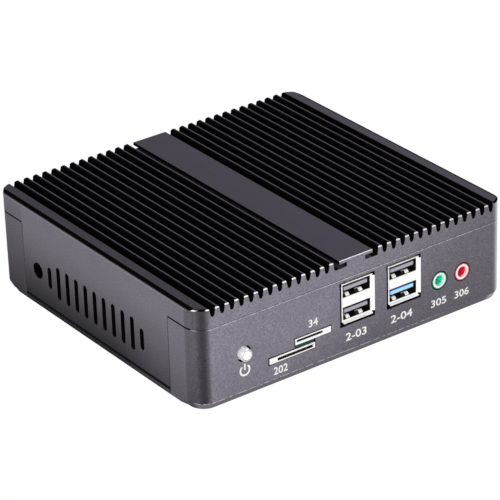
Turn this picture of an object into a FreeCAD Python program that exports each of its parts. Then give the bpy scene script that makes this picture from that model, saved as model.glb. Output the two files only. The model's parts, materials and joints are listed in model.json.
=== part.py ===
import FreeCAD, Part
import math
import os
import Sketcher

# Fanless industrial computer.
#
# Frame: +X runs along the port face, -Y is the front with the ports and the button,
# +Z is up. X = 0 and Y = 0 are the middle of everything, the sockets that stand out at the
# rear included, and Z = 0 is the surface that the rubber feet stand on. All sizes are in
# millimetres.
#
# Every sub-part is drawn in a frame of its own and set in place by its Placement. The
# housing pieces and the board have their own X = 0 and Y = 0 in the middle of the case, and
# Z = 0 on the underside of the base shell. A connector has its own origin on the axis of
# its mouth, in the outer face of the case, with its own +Y pointing into the case.

DIMENSIONS = {
    # Case
    "case_width": 135.0,
    "case_depth": 124.5,
    "case_height": 38.5,
    "corner_radius": 7.0,
    "wall": 2.0,
    "seam_gap": 0.15,
    # Base shell: floor, front wall and rear wall in one piece
    "base_plate": 2.4,
    "base_edge_height": 2.3,
    "base_edge_depth": 1.15,
    "slab_thickness": 7.6,
    "end_wall_return": 16.6,
    # Extruded cover: bevelled edges, fins and the plain band in the middle
    "bevel_width": 1.9,
    "bevel_height": 0.9,
    "end_chamfer": 0.6,
    "groove_width": 2.4,
    "groove_depth": 3.3,
    "groove_floor_radius": 0.8,
    "fin_edge": 0.4,
    "groove_count": 13,
    "edge_strip": 6.9,
    "band_width": 14.4,
    "band_slot": 2.6,
    "band_drop": 0.4,
    "band_thickness": 1.2,
    "band_undercut": 3.2,
    # Vents and antenna hole in the sides of the cover
    "slot_count": 9,
    "vent_row_inset": 33.25,
    "slot_width": 2.4,
    "slot_length": 13.0,
    "slot_low": 8.4,
    "short_slot_length": 8.4,
    "short_slot_low": 10.7,
    "slot_row_y": -0.3,
    "antenna_hole_radius": 3.05,
    "antenna_hole_inset": 25.85,
    "antenna_hole_height": 14.85,
    # Screw columns of the cover and the screws from below
    "column_inset_x": 7.5,
    "column_inset_y": 8.05,
    "column_width": 7.0,
    "column_bore_radius": 1.5,
    "column_bore_depth": 10.0,
    "screw_shank_radius": 1.45,
    "screw_length": 10.0,
    "screw_head_radius": 2.8,
    "screw_clearance": 0.15,
    # Bracket threads in the base, and the feet
    "bracket_spacing": 75.0,
    "bracket_boss_width": 8.0,
    "bracket_boss_height": 3.0,
    "bracket_thread_radius": 1.65,
    "foot_height": 1.0,
    "foot_radius": 5.0,
    "foot_inset_x": 17.5,
    "foot_inset_y": 16.25,
    # Main board and what holds it
    "board_gap_x": 2.0,
    "board_gap_y": 0.75,
    "board_thickness": 1.6,
    "board_notch_x": 9.5,
    "board_notch_y": 11.0,
    "standoff_inset_x": 5.0,
    "standoff_inset_y": 17.5,
    "standoff_across_flats": 5.0,
    "board_screw_radius": 1.25,
    "board_screw_head_radius": 2.5,
    "board_screw_head_height": 1.8,
    "standoff_floor": 2.5,
    # Power button and its switch
    "button_inset": 19.1,
    "button_lift": 4.4,
    "button_radius": 2.35,
    "button_hole_radius": 3.05,
    "button_reach": 2.0,
    "button_travel": 1.0,
    "button_flange_radius": 3.8,
    "button_flange": 0.8,
    "button_stem_radius": 1.6,
    "button_stem": 2.2,
    "button_key_width": 1.0,
    "button_key_height": 0.45,
    "button_chamfer": 0.3,
    "lens_radius": 1.7,
    "lens_depth": 0.6,
    "lens_dome": 0.15,
    "running_gap": 0.3,
    "plunger_width": 2.4,
    "plunger_length": 3.6,
    "switch_width": 7.0,
    "switch_length": 7.0,
    "switch_body_height": 7.6,
    # Card holders: the lower one hangs under the board, the upper one stands on it
    "card_reach": 0.3,
    "card_cutout_gap": 0.35,
    "sim_x": -28.2,
    "sim_width": 19.3,
    "sim_holder_height": 2.1,
    "sim_depth": 26.0,
    "sim_mouth_width": 15.2,
    "sim_mouth_shift": 1.2,
    "tf_x": -19.2,
    "tf_width": 15.2,
    "tf_holder_height": 2.2,
    "tf_depth": 15.5,
    "tf_mouth_width": 11.2,
    "tf_mouth_shift": -1.5,
    "card_mouth_height": 0.9,
    "card_skin": 0.45,
    # Stacked USB sockets
    "usb_x": 0.35,
    "usb_spacing": 20.55,
    "usb_lift": 1.3,
    "usb_headroom": 1.77,
    "usb_width": 12.9,
    "usb_stack_height": 15.0,
    "usb_depth": 17.5,
    "usb_skin": 0.35,
    "usb_recess": 0.4,
    "usb_flare_length": 0.9,
    "usb_flare_side": 0.85,
    "usb_flare_top": 0.33,
    "usb_flare_corner": 1.9,
    "usb_cutout_gap": 0.06,
    "usb_port_width": 12.1,
    "usb_port_height": 5.0,
    "usb_port_pitch": 8.7,
    "usb_tongue_width": 10.8,
    "usb_tongue_height": 1.8,
    "usb_tongue_setback": 1.0,
    "usb_tongue_rise": 0.55,
    "usb_root_length": 7.0,
    # Sound sockets
    "jack_shift": -0.15,
    "jack_spacing": 10.4,
    "jack_barrel_radius": 3.3,
    "jack_bore_radius": 1.8,
    "jack_bore_depth": 14.0,
    "jack_body_width": 7.6,
    "jack_body_height": 6.8,
    "jack_body_length": 12.5,
    "jack_hole_gap": 0.15,
    "collar_inner_radius": 2.05,
    "collar_outer_radius": 2.95,
    "collar_depth": 0.8,
    "jack_reach": 0.1,
    # Rear sockets
    "socket_gap": 0.3,
    "dc_shift": 0.25,
    "dc_barrel_radius": 3.9,
    "dc_bore_radius": 3.1,
    "dc_bore_depth": 9.5,
    "dc_pin_radius": 1.0,
    "dc_body_width": 9.0,
    "dc_body_height": 10.5,
    "dc_body_length": 14.0,
    "dc_lift": 5.7,
    "hdmi_x": 29.5,
    "hdmi_width": 15.0,
    "hdmi_shell_height": 5.6,
    "hdmi_depth": 11.5,
    "hdmi_corner": 1.6,
    "hdmi_skin": 0.35,
    "hdmi_root_length": 2.9,
    "hdmi_tongue_width": 11.6,
    "hdmi_tongue_height": 1.1,
    "vga_x": 4.0,
    "vga_lift": 6.4,
    "vga_top_width": 16.9,
    "vga_bottom_width": 14.6,
    "vga_shell_height": 8.4,
    "vga_corner": 2.0,
    "vga_skin": 0.5,
    "vga_reach": 4.0,
    "vga_flange_width": 30.8,
    "vga_flange_height": 12.4,
    "vga_flange_thickness": 0.8,
    "vga_body_length": 9.0,
    "vga_body_width": 19.0,
    "vga_screw_spacing": 25.0,
    "vga_screw_radius": 2.4,
    "vga_screw_bore_radius": 1.2,
    "vga_screw_reach": 5.0,
    "vga_screw_hole_gap": 0.1,
    "lan_shift": 0.45,
    "lan_spacing": -19.0,
    "lan_width": 16.0,
    "lan_shell_height": 13.4,
    "lan_depth": 21.3,
    "lan_skin": 0.3,
    "lan_port_width": 11.8,
    "lan_port_height": 6.9,
    "lan_port_depth": 13.0,
    "lan_latch_width": 6.2,
    "lan_latch_height": 2.4,
    "lan_port_drop": 0.6,
    "fit_gap": 0.05,
    # Processor and the block that carries its heat to the cover
    "cpu_y": 2.0,
    "cpu_width": 25.0,
    "cpu_depth": 27.0,
    "cpu_thickness": 1.4,
    "cpu_die_width": 15.0,
    "pad_thickness": 0.5,
    "pad_width": 22.0,
    "heat_block_width": 40.0,
    "heat_block_chamfer": 2.0,
    # Memory and storage modules
    "memory_shift": 1.25,
    "memory_length": 67.6,
    "memory_width": 30.0,
    "memory_lift": 3.2,
    "module_thickness": 1.0,
    "memory_socket_width": 6.0,
    "memory_socket_height": 5.4,
    "memory_arm_length": 22.5,
    "memory_chip_length": 12.0,
    "memory_chip_width": 7.2,
    "memory_chip_pitch": 16.9,
    "chip_thickness": 1.0,
    "ssd_shift": 0.25,
    "ssd_length": 50.8,
    "ssd_width": 29.85,
    "ssd_lift": 3.0,
    "ssd_socket_length": 6.0,
    "ssd_socket_height": 5.0,
    "ssd_y": 4.0,
    "ssd_chip_width": 18.0,
    "ssd_chip_length": 12.0,
    "ssd_controller_y": -12.7,
    "ssd_chip_y": 6.35,
    # Clock battery, chokes and capacitors
    "cell_radius": 10.0,
    "cell_thickness": 3.2,
    "cell_holder_wall": 0.6,
    "cell_holder_height": 4.6,
    "cell_holder_floor": 0.8,
    "choke_width": 6.6,
    "choke_height": 4.0,
    "choke_pitch": 9.0,
    "choke_y": -29.0,
    "choke_chamfer": 0.9,
    "capacitor_width": 4.3,
    "capacitor_length": 7.3,
    "capacitor_height": 2.9,
    "capacitor_pitch": 8.0,
    "capacitor_y": 32.0,
}


class Size:
    """A length that carries its number and the sheet formula that gives it."""

    def __init__(self, number, text=None):
        self.number = number
        self.text = str(number) if text is None else text

    def joined(self, other, sign, number, swap=False):
        other_text = other.text if isinstance(other, Size) else str(other)
        left, right = (other_text, self.text) if swap else (self.text, other_text)
        return Size(number, f"({left} {sign} {right})")

    def __add__(self, other):
        return self.joined(other, "+", self.number + number(other))

    def __radd__(self, other):
        return self.joined(other, "+", number(other) + self.number, swap=True)

    def __sub__(self, other):
        return self.joined(other, "-", self.number - number(other))

    def __rsub__(self, other):
        return self.joined(other, "-", number(other) - self.number, swap=True)

    def __mul__(self, other):
        return self.joined(other, "*", self.number * number(other))

    def __rmul__(self, other):
        return self.joined(other, "*", number(other) * self.number, swap=True)

    def __truediv__(self, other):
        return self.joined(other, "/", self.number / number(other))

    def __neg__(self):
        return Size(-self.number, f"(0 - {self.text})")


def number(value):
    """The plain number of a Size or of a number."""
    return value.number if isinstance(value, Size) else value


def bind(item, prop, value):
    """Tie one property of an object to the sheet."""
    text = value.text if isinstance(value, Size) else str(value)
    item.setExpression(prop, text)


def make_sheet(document):
    """Write the driving dimensions into a sheet and return them by name."""
    sheet = document.addObject("Spreadsheet::Sheet", "Dimensions")
    for row, (alias, value) in enumerate(DIMENSIONS.items(), start=1):
        sheet.set(f"A{row}", alias.replace("_", " "))
        sheet.set(f"B{row}", str(value))
        sheet.setAlias(f"B{row}", alias)
    document.recompute()
    return {alias: Size(value, f"Dimensions.{alias}") for alias, value in DIMENSIONS.items()}


class Sizes:
    """The driving dimensions, read as attributes."""

    def __init__(self, table):
        self.__dict__.update(table)


document = FreeCAD.newDocument("fanless_computer")
size = Sizes(make_sheet(document))
nodes = []


# --- Helpers: sketches, features, primitives ------------------------------------------------


class Drawing:
    """A sketch on one of its body's origin planes, every point held by the sheet."""

    def __init__(self, body, plane, name, offset=0):
        self.sketch = body.newObject("Sketcher::SketchObject", name)
        self.sketch.AttachmentSupport = [(origin_feature(body, plane), "")]
        self.sketch.MapMode = "FlatFace"
        bind(self.sketch, "AttachmentOffset.Base.z", offset)

    def hold(self, kind, value, *where):
        """Add one dimension and tie it to the sheet."""
        index = self.sketch.addConstraint(Sketcher.Constraint(kind, *where, number(value)))
        label = f"{kind}{index}"
        self.sketch.renameConstraint(index, label)
        bind(self.sketch, f"Constraints.{label}", value)

    def hold_point(self, curve, end, x, y):
        self.hold("DistanceX", x, curve, end)
        self.hold("DistanceY", y, curve, end)

    def polygon(self, points):
        """A closed outline of straight lines through the given points."""
        corners = [FreeCAD.Vector(number(x), number(y), 0) for x, y in points]
        count = len(points)
        lines = []
        for index, corner in enumerate(corners):
            segment = Part.LineSegment(corner, corners[(index + 1) % count])
            lines.append(self.sketch.addGeometry(segment, False))
        for index, line in enumerate(lines):
            following = lines[(index + 1) % count]
            self.sketch.addConstraint(Sketcher.Constraint("Coincident", line, 2, following, 1))
        for line, (x, y) in zip(lines, points):
            self.hold_point(line, 1, x, y)
        return lines

    def rectangle(self, left, bottom, right, top):
        return self.polygon([(left, bottom), (right, bottom), (right, top), (left, top)])

    def circle(self, x, y, radius):
        centre = FreeCAD.Vector(number(x), number(y), 0)
        curve = Part.Circle(centre, FreeCAD.Vector(0, 0, 1), number(radius))
        index = self.sketch.addGeometry(curve, False)
        self.hold("Radius", radius, index)
        self.hold_point(index, 3, x, y)

    def arc(self, x, y, radius, start_degrees, end_degrees):
        """One arc, counter-clockwise, held by its centre and radius."""
        centre = FreeCAD.Vector(number(x), number(y), 0)
        circle = Part.Circle(centre, FreeCAD.Vector(0, 0, 1), number(radius))
        curve = Part.ArcOfCircle(
            circle, math.radians(start_degrees), math.radians(end_degrees)
        )
        index = self.sketch.addGeometry(curve, False)
        self.hold("Radius", radius, index)
        self.hold_point(index, 3, x, y)
        return index

    def join_smooth(self, first, first_end, second, second_end):
        self.sketch.addConstraint(
            Sketcher.Constraint("Tangent", first, first_end, second, second_end)
        )

    def line_between(self, first, first_end, second, second_end):
        """A line from one arc's end to the next arc's start, tangent to both."""
        start = self.sketch.getPoint(first, first_end)
        end = self.sketch.getPoint(second, second_end)
        line = self.sketch.addGeometry(Part.LineSegment(start, end), False)
        self.join_smooth(first, first_end, line, 1)
        self.join_smooth(line, 2, second, second_end)

    def slot(self, x, low, high, radius):
        """An upright slot with round ends."""
        top = round_end(x, high - radius, radius, 0, vent_end_steps)
        bottom = round_end(x, low + radius, radius, 180, vent_end_steps)
        self.polygon(top + bottom)

    def rounded_rectangle(self, left, bottom, right, top, radius):
        corners = [
            self.arc(right - radius, top - radius, radius, 0, 90),
            self.arc(left + radius, top - radius, radius, 90, 180),
            self.arc(left + radius, bottom + radius, radius, 180, 270),
            self.arc(right - radius, bottom + radius, radius, 270, 360),
        ]
        for index, corner in enumerate(corners):
            self.line_between(corner, 2, corners[(index + 1) % 4], 1)


def round_end(x, y, radius, start_degrees, steps):
    """Half a turn in straight steps, which keeps a form that repeats often light."""
    points = []
    for step in range(steps + 1):
        angle = math.radians(start_degrees + 180 * step / steps)
        across = round(math.cos(angle), 6)
        up = round(math.sin(angle), 6)
        points.append((x + radius * across, y + radius * up))
    return points


def origin_feature(body, role):
    return next(item for item in body.Origin.OriginFeatures if item.Role == role)


def new_body(name):
    return document.addObject("PartDesign::Body", name)


def pad(body, drawing, name, length, symmetric=False, reverse=False):
    feature = body.newObject("PartDesign::Pad", name)
    feature.Profile = drawing.sketch
    feature.SideType = "Symmetric" if symmetric else "One side"
    feature.Reversed = reverse
    bind(feature, "Length", length)
    document.recompute()
    return feature


def pocket(body, drawing, name, length=None, symmetric=False, reverse=False):
    """Cut a sketch away, through everything where no length is given."""
    before = body.Shape.Volume
    feature = body.newObject("PartDesign::Pocket", name)
    feature.Profile = drawing.sketch
    feature.SideType = "Symmetric" if symmetric else "One side"
    feature.Reversed = reverse
    if length is None:
        feature.Type = "ThroughAll"
    else:
        bind(feature, "Length", length)
    document.recompute()
    if body.Shape.Volume >= before:
        raise RuntimeError(f"{name} cuts nothing")
    return feature


def row(body, feature, name, axis, spacing, count, reverse=False):
    """Repeat a feature in a straight row."""
    pattern = body.newObject("PartDesign::LinearPattern", name)
    pattern.Originals = [feature]
    pattern.Direction = (origin_feature(body, axis), [""])
    pattern.Mode = "Spacing"
    pattern.Reversed = reverse
    bind(pattern, "Offset", spacing)
    bind(pattern, "Occurrences", count)
    body.Tip = pattern
    document.recompute()
    return pattern


def mirror(body, features, name, plane):
    copy = body.newObject("PartDesign::Mirrored", name)
    copy.Originals = features
    copy.MirrorPlane = (origin_feature(body, plane), [""])
    body.Tip = copy
    document.recompute()
    return copy


def edge_names(shape, wanted):
    return [f"Edge{index}" for index, edge in enumerate(shape.Edges, start=1) if wanted(edge)]


def dress(body, kind, name, wanted, value, prop):
    """Fillet or chamfer the edges of the body's tip that a test picks out."""
    base = body.Tip
    names = edge_names(base.Shape, wanted)
    if not names:
        raise RuntimeError(f"{name} finds no edge")
    feature = body.newObject(kind, name)
    feature.Base = (base, names)
    bind(feature, prop, value)
    document.recompute()
    return feature


def fillet(body, name, wanted, radius):
    return dress(body, "PartDesign::Fillet", name, wanted, radius, "Radius")


def chamfer(body, name, wanted, width):
    return dress(body, "PartDesign::Chamfer", name, wanted, width, "Size")


def revolve(body, drawing, name, axis="Y_Axis"):
    feature = body.newObject("PartDesign::Revolution", name)
    feature.Profile = drawing.sketch
    feature.ReferenceAxis = (origin_feature(body, axis), [""])
    feature.Angle = 360
    document.recompute()
    return feature


def near(a, b):
    return abs(number(a) - number(b)) < 1e-4


def is_upright(edge):
    """True for a straight edge along Z."""
    box = edge.BoundBox
    return box.XLength < 1e-6 and box.YLength < 1e-6


def is_along_y(edge):
    """True for a straight edge along Y."""
    box = edge.BoundBox
    return box.XLength < 1e-6 and box.ZLength < 1e-6


def place_at(item, x=0, y=0, z=0):
    for letter, value in (("x", x), ("y", y), ("z", z)):
        bind(item, f"Placement.Base.{letter}", value)


def box(name, x, y, z, length, width, height):
    """A block from its lowest corner."""
    item = document.addObject("Part::Box", name)
    for prop, value in (("Length", length), ("Width", width), ("Height", height)):
        bind(item, prop, value)
    place_at(item, x, y, z)
    return item


def centred_box(name, x, y, z, length, width, height):
    """A block centred on x and y that stands on z."""
    return box(name, x - length / 2, y - width / 2, z, length, width, height)


def cylinder(name, x, y, z, radius, height, along_y=False):
    """A round bar up from z, or along +Y from y."""
    item = document.addObject("Part::Cylinder", name)
    if along_y:
        turn = FreeCAD.Rotation(FreeCAD.Vector(1, 0, 0), -90)
        item.Placement = FreeCAD.Placement(FreeCAD.Vector(), turn)
    bind(item, "Radius", radius)
    bind(item, "Height", height)
    place_at(item, x, y, z)
    return item


def hexagon(name, radius, height):
    """A six-sided bar up from the origin, by the radius of its corners."""
    item = document.addObject("Part::Prism", name)
    item.Polygon = 6
    bind(item, "Circumradius", radius)
    bind(item, "Height", height)
    return item


def cut(name, base, *tools):
    for index, tool in enumerate(tools):
        item = document.addObject("Part::Cut", f"{name}_cut{index}")
        item.Base = base
        item.Tool = tool
        base = item
    return base


def fuse(name, *pieces):
    item = document.addObject("Part::MultiFuse", f"{name}_whole")
    item.Shapes = list(pieces)
    item.Refine = True
    return item


def group(name, *pieces):
    item = document.addObject("Part::Compound", f"{name}_group")
    item.Links = list(pieces)
    return item


def keep(item, label, x=0, y=0, z=0):
    """Name a finished sub-part and set it in place."""
    item.Label = label
    place_at(item, x, y - middle_y, z)
    nodes.append(item)


def copies(body, name, places):
    """Several of one small piece, each at its own place, as one group of solids."""
    links = []
    for index, (x, y, z) in enumerate(places):
        link = document.addObject("App::Link", f"{name}_{index}")
        link.LinkedObject = body
        link.LinkTransform = False
        place_at(link, x, y, z)
        links.append(link)
    return group(name, *links)


def four_corners(x, y, z=0):
    return [(x, y, z), (-x, y, z), (-x, -y, z), (x, -y, z)]


# Places that several pieces share, in the housing's own frame. The row's Y = 0 is the middle
# of everything, the button and the display socket's screws included.
half_width = size.case_width / 2
half_depth = size.case_depth / 2
front_face = -half_depth
rear_face = half_depth
middle_y = (size.vga_screw_reach - size.button_reach) / 2
slab_underside = size.case_height - size.slab_thickness

# The fins fill the room between the plain band and the strips along the sides.
outer_groove_x = half_width - size.edge_strip
fin_side = size.band_width / 2 + size.band_slot
fin_pitch = (outer_groove_x + size.groove_width / 2 - fin_side) / size.groove_count
slot_pitch = 2 * (half_depth - size.vent_row_inset) / (size.slot_count + 1)
antenna_hole_y = half_depth - size.antenna_hole_inset
column_x = half_width - size.column_inset_x
column_y = half_depth - size.column_inset_y
foot_x = half_width - size.foot_inset_x
foot_y = half_depth - size.foot_inset_y

# The board hangs as far below the cover's top as the stacked sockets on it are tall.
usb_lips_height = size.usb_stack_height + size.usb_flare_top
board_top = slab_underside - size.usb_headroom - usb_lips_height - size.usb_lift
board_height = board_top - size.board_thickness
board_half_x = half_width - size.wall - size.board_gap_x
board_half_y = half_depth - size.wall - size.board_gap_y
standoff_x = board_half_x - size.standoff_inset_x
standoff_y = board_half_y - size.standoff_inset_y
board_screw_depth = board_height - size.base_plate - size.standoff_floor

# Heights of the sockets' axes on the board.
button_height = board_top + size.button_lift
usb_height = board_top + size.usb_lift + size.usb_stack_height / 2
jack_height = board_top + size.jack_body_height / 2
dc_height = board_top + size.dc_lift
vga_height = board_top + size.vga_lift

# The button keeps its distance from the side. The sockets near the corners stand in the
# middle of the room between their neighbour and the cover's column, and the two modules in
# the middle of the room between the heat block and the board's edge.
column_side = column_x - size.column_width / 2
button_x = size.button_inset - half_width
usb_side = size.usb_x + size.usb_spacing + size.usb_width / 2
lips_side = usb_side + size.usb_flare_side
jack_x = (lips_side + column_side - size.jack_spacing) / 2 + size.jack_shift
hdmi_side = size.hdmi_x + size.hdmi_width / 2
dc_x = (hdmi_side + column_side) / 2 + size.dc_shift
vga_side = size.vga_x - size.vga_flange_width / 2
lan_x = (vga_side - column_side - size.lan_spacing) / 2 + size.lan_shift
module_room = (size.heat_block_width / 2 + board_half_x) / 2
memory_x = -module_room - size.memory_shift
ssd_x = module_room + size.ssd_shift
cell_x = (usb_side + standoff_x - size.board_screw_head_radius) / 2
jack_back = front_face + size.jack_body_length
cell_y = (jack_back + size.ssd_y - size.ssd_length / 2) / 2

# Four things in a row, counted in pitches from the middle.
four_steps = (-1.5, -0.5, 0.5, 1.5)

# Straight steps in a half turn, for the round ends and floors that repeat.
vent_end_steps = 6
groove_floor_steps = 4


# --- Housing --------------------------------------------------------------------------------


def heatsink_cover():
    """One aluminium extrusion along Y: finned top, two side walls, milled ends and vents."""
    body = new_body("cover")
    inner = half_width - size.wall
    top = size.case_height
    side_foot = size.base_plate + size.seam_gap
    bevel_inner = half_width - size.bevel_width
    bevel_foot = top - size.bevel_height

    profile = Drawing(body, "XZ_Plane", "cover_profile")
    profile.polygon([
        (-half_width, side_foot), (-inner, side_foot),
        (-inner, slab_underside), (inner, slab_underside),
        (inner, side_foot), (half_width, side_foot),
        (half_width, bevel_foot), (bevel_inner, top),
        (-bevel_inner, top), (-half_width, bevel_foot),
    ])
    pad(body, profile, "extrusion", size.case_depth, symmetric=True)

    # The side walls stop short of the ends, where the base shell's walls wrap round.
    wall_end = half_depth - size.end_wall_return - size.seam_gap
    ends = Drawing(body, "YZ_Plane", "wall_end_cuts")
    ends.rectangle(-size.case_depth, 0, -wall_end, slab_underside)
    ends.rectangle(wall_end, 0, size.case_depth, slab_underside)
    pocket(body, ends, "wall_ends", symmetric=True)

    outside = Drawing(body, "XY_Plane", "corner_cuts", offset=top)
    outside.rectangle(-size.case_width, -size.case_depth, size.case_width, size.case_depth)
    outside.rounded_rectangle(
        -half_width, -half_depth, half_width, half_depth, size.corner_radius
    )
    pocket(body, outside, "round_corners")

    def is_end_edge(edge):
        box = edge.BoundBox
        flat_on_top = near(box.ZMin, top) and near(box.ZMax, top)
        inside = half_depth.number - size.corner_radius.number
        return flat_on_top and (box.YMax < -inside or box.YMin > inside)

    chamfer(body, "end_chamfers", is_end_edge, size.end_chamfer)

    cut_fins(body, top)
    cut_band(body, top)
    cut_side_openings(body)
    add_columns(body, side_foot)
    keep(body, "heatsink_cover", z=size.foot_height)


def cut_fins(body, top):
    """Rows of round-bottomed grooves with broken edges, which leave the fins between."""
    groove = Drawing(body, "XZ_Plane", "groove_profile")
    x = -outer_groove_x
    radius = size.groove_floor_radius
    edge = size.fin_edge
    half = size.groove_width / 2
    floor = round_end(x, top - size.groove_depth + radius, radius, 180, groove_floor_steps)
    groove.polygon(floor + [
        (x + half, top - edge), (x + half + edge, top),
        (x - half - edge, top), (x - half, top - edge),
    ])
    first = pocket(body, groove, "first_groove", symmetric=True)

    grooves = body.newObject("PartDesign::MultiTransform", "grooves")
    grooves.Originals = [first]
    across_half = body.newObject("PartDesign::LinearPattern", "groove_row")
    across_half.Direction = (origin_feature(body, "X_Axis"), [""])
    across_half.Mode = "Spacing"
    bind(across_half, "Offset", fin_pitch)
    bind(across_half, "Occurrences", size.groove_count)
    other_half = body.newObject("PartDesign::Mirrored", "groove_mirror")
    other_half.MirrorPlane = (origin_feature(body, "YZ_Plane"), [""])
    grooves.Transformations = [across_half, other_half]
    body.Tip = grooves
    document.recompute()


def cut_band(body, top):
    """The band between the fins: a little low, with a slot that runs in under each edge."""
    half_band = size.band_width / 2
    floor = top - size.groove_depth
    band_underside = top - size.band_drop - size.band_thickness
    fin_foot = fin_side - (size.groove_width / 2 - size.groove_floor_radius)
    edge = size.fin_edge
    undercut_end = half_band - size.band_undercut

    notch = Drawing(body, "XZ_Plane", "band_slot_profile")
    notch.polygon([
        (-fin_side - edge, top), (-fin_side, top - edge),
        (-fin_foot, floor), (-undercut_end, floor),
        (-undercut_end, band_underside), (-half_band, band_underside), (-half_band, top),
    ])
    slot = pocket(body, notch, "band_slot", symmetric=True)
    mirror(body, [slot], "band_slots", "YZ_Plane")

    step = Drawing(body, "XZ_Plane", "band_step_profile")
    step.rectangle(-half_band, top - size.band_drop, half_band, top + size.band_drop)
    pocket(body, step, "band_step", symmetric=True)


def cut_side_openings(body):
    """A row of vents through both side walls, with a round antenna hole beside it."""
    radius = size.slot_width / 2
    row_start = size.slot_row_y - (size.slot_count - 1) / 2 * slot_pitch
    row_end = size.slot_row_y + (size.slot_count - 1) / 2 * slot_pitch
    long_slot = Drawing(body, "YZ_Plane", "vent_outline")
    long_slot.slot(row_start, size.slot_low, size.slot_low + size.slot_length, radius)
    first = pocket(body, long_slot, "first_vent", symmetric=True)
    row(body, first, "vents", "Y_Axis", slot_pitch, size.slot_count)

    short_top = size.short_slot_low + size.short_slot_length
    ends = Drawing(body, "YZ_Plane", "short_vent_outlines")
    for y in (row_start - slot_pitch, row_end + slot_pitch):
        ends.slot(y, size.short_slot_low, short_top, radius)
    ends.circle(antenna_hole_y, size.antenna_hole_height, size.antenna_hole_radius)
    pocket(body, ends, "short_vents_and_antenna_hole", symmetric=True)


def add_columns(body, side_foot):
    """Four columns under the top, tapped from below for the screws that close the case."""
    rods = Drawing(body, "XY_Plane", "column_outlines", offset=slab_underside)
    bores = Drawing(body, "XY_Plane", "column_bore_outlines", offset=side_foot)
    half = size.column_width / 2
    for x, y, _ in four_corners(column_x, column_y):
        rods.rectangle(x - half, y - half, x + half, y + half)
        bores.circle(x, y, size.column_bore_radius)
    pad(body, rods, "columns", slab_underside - side_foot, reverse=True)
    pocket(body, bores, "column_bores", size.column_bore_depth, reverse=True)


def base_shell():
    """Floor, front wall and rear wall in one piece, wrapped round the corners."""
    body = new_body("base")
    inner_x = half_width - size.wall
    inner_y = half_depth - size.wall
    inner_radius = size.corner_radius - size.wall

    plan = Drawing(body, "XY_Plane", "base_plan")
    plan.rounded_rectangle(-half_width, -half_depth, half_width, half_depth, size.corner_radius)
    pad(body, plan, "base_block", slab_underside - size.seam_gap)

    room = Drawing(body, "XY_Plane", "base_room", offset=slab_underside)
    room.rounded_rectangle(-inner_x, -inner_y, inner_x, inner_y, inner_radius)
    pocket(body, room, "base_hollow", slab_underside - size.base_plate)

    wall_end = half_depth - size.end_wall_return
    sides = Drawing(body, "YZ_Plane", "side_cut")
    sides.rectangle(-wall_end, size.base_plate, wall_end, slab_underside + size.wall)
    pocket(body, sides, "side_openings", symmetric=True)

    def is_bottom_edge(edge):
        return edge.BoundBox.ZMax < 1e-6

    bevel = chamfer(body, "base_edge", is_bottom_edge, size.base_edge_height)
    bevel.ChamferType = "Two distances"
    bind(bevel, "Size2", size.base_edge_depth)
    document.recompute()

    add_bracket_threads(body)
    cut_cover_screw_holes(body)
    cut_front_openings(body)
    cut_rear_openings(body)
    keep(body, "base_shell", z=size.foot_height)


def add_bracket_threads(body):
    """Four square threaded bosses on the floor, on the bracket's square."""
    reach = size.bracket_spacing / 2
    half = size.bracket_boss_width / 2
    boss_top = size.base_plate + size.bracket_boss_height
    bosses = Drawing(body, "XY_Plane", "bracket_boss_outlines", offset=size.base_plate)
    bores = Drawing(body, "XY_Plane", "bracket_bore_outlines", offset=boss_top)
    for x, y, _ in four_corners(reach, reach):
        bosses.rectangle(x - half, y - half, x + half, y + half)
        bores.circle(x, y, size.bracket_thread_radius)
    pad(body, bosses, "bracket_bosses", size.bracket_boss_height)
    pocket(body, bores, "bracket_bores", boss_top)


def cut_cover_screw_holes(body):
    """Countersunk holes under the cover's columns."""
    hole_radius = size.screw_shank_radius + size.screw_clearance
    holes = Drawing(body, "XY_Plane", "cover_screw_outlines", offset=size.base_plate)
    for x, y, _ in four_corners(column_x, column_y):
        holes.circle(x, y, hole_radius)
    pocket(body, holes, "cover_screw_holes", size.base_plate)

    def is_hole_rim(edge):
        box = edge.BoundBox
        return box.ZMax < 1e-6 and near(box.XLength, hole_radius * 2)

    sink = size.screw_head_radius + size.screw_clearance - hole_radius
    chamfer(body, "countersinks", is_hole_rim, sink)


def cut_front_openings(body):
    """Button hole, stepped card opening, two stacked USB openings and two sound holes."""
    front = Drawing(body, "XZ_Plane", "front_outlines", offset=rear_face)
    front.circle(button_x, button_height, size.button_hole_radius)

    gap = size.card_cutout_gap
    sim_left = size.sim_x - size.sim_width / 2 - gap
    sim_right = size.sim_x + size.sim_width / 2 + gap
    sim_low = board_height - size.sim_holder_height - gap
    sim_high = board_height + gap
    tf_left = size.tf_x - size.tf_width / 2 - gap
    tf_right = size.tf_x + size.tf_width / 2 + gap
    tf_low = board_top - gap
    tf_high = board_top + size.tf_holder_height + gap
    front.polygon([
        (sim_left, sim_low), (sim_right, sim_low), (sim_right, tf_low), (tf_right, tf_low),
        (tf_right, tf_high), (tf_left, tf_high), (tf_left, sim_high), (sim_left, sim_high),
    ])

    half_width = size.usb_width / 2 + size.usb_flare_side + size.usb_cutout_gap
    half_height = size.usb_stack_height / 2 + size.usb_flare_top + size.usb_cutout_gap
    for x in (size.usb_x, size.usb_x + size.usb_spacing):
        front.rectangle(
            x - half_width, usb_height - half_height,
            x + half_width, usb_height + half_height,
        )
    for x in (jack_x, jack_x + size.jack_spacing):
        front.circle(x, jack_height, size.jack_barrel_radius + size.jack_hole_gap)
    pocket(body, front, "front_openings", size.wall + size.seam_gap)


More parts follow.
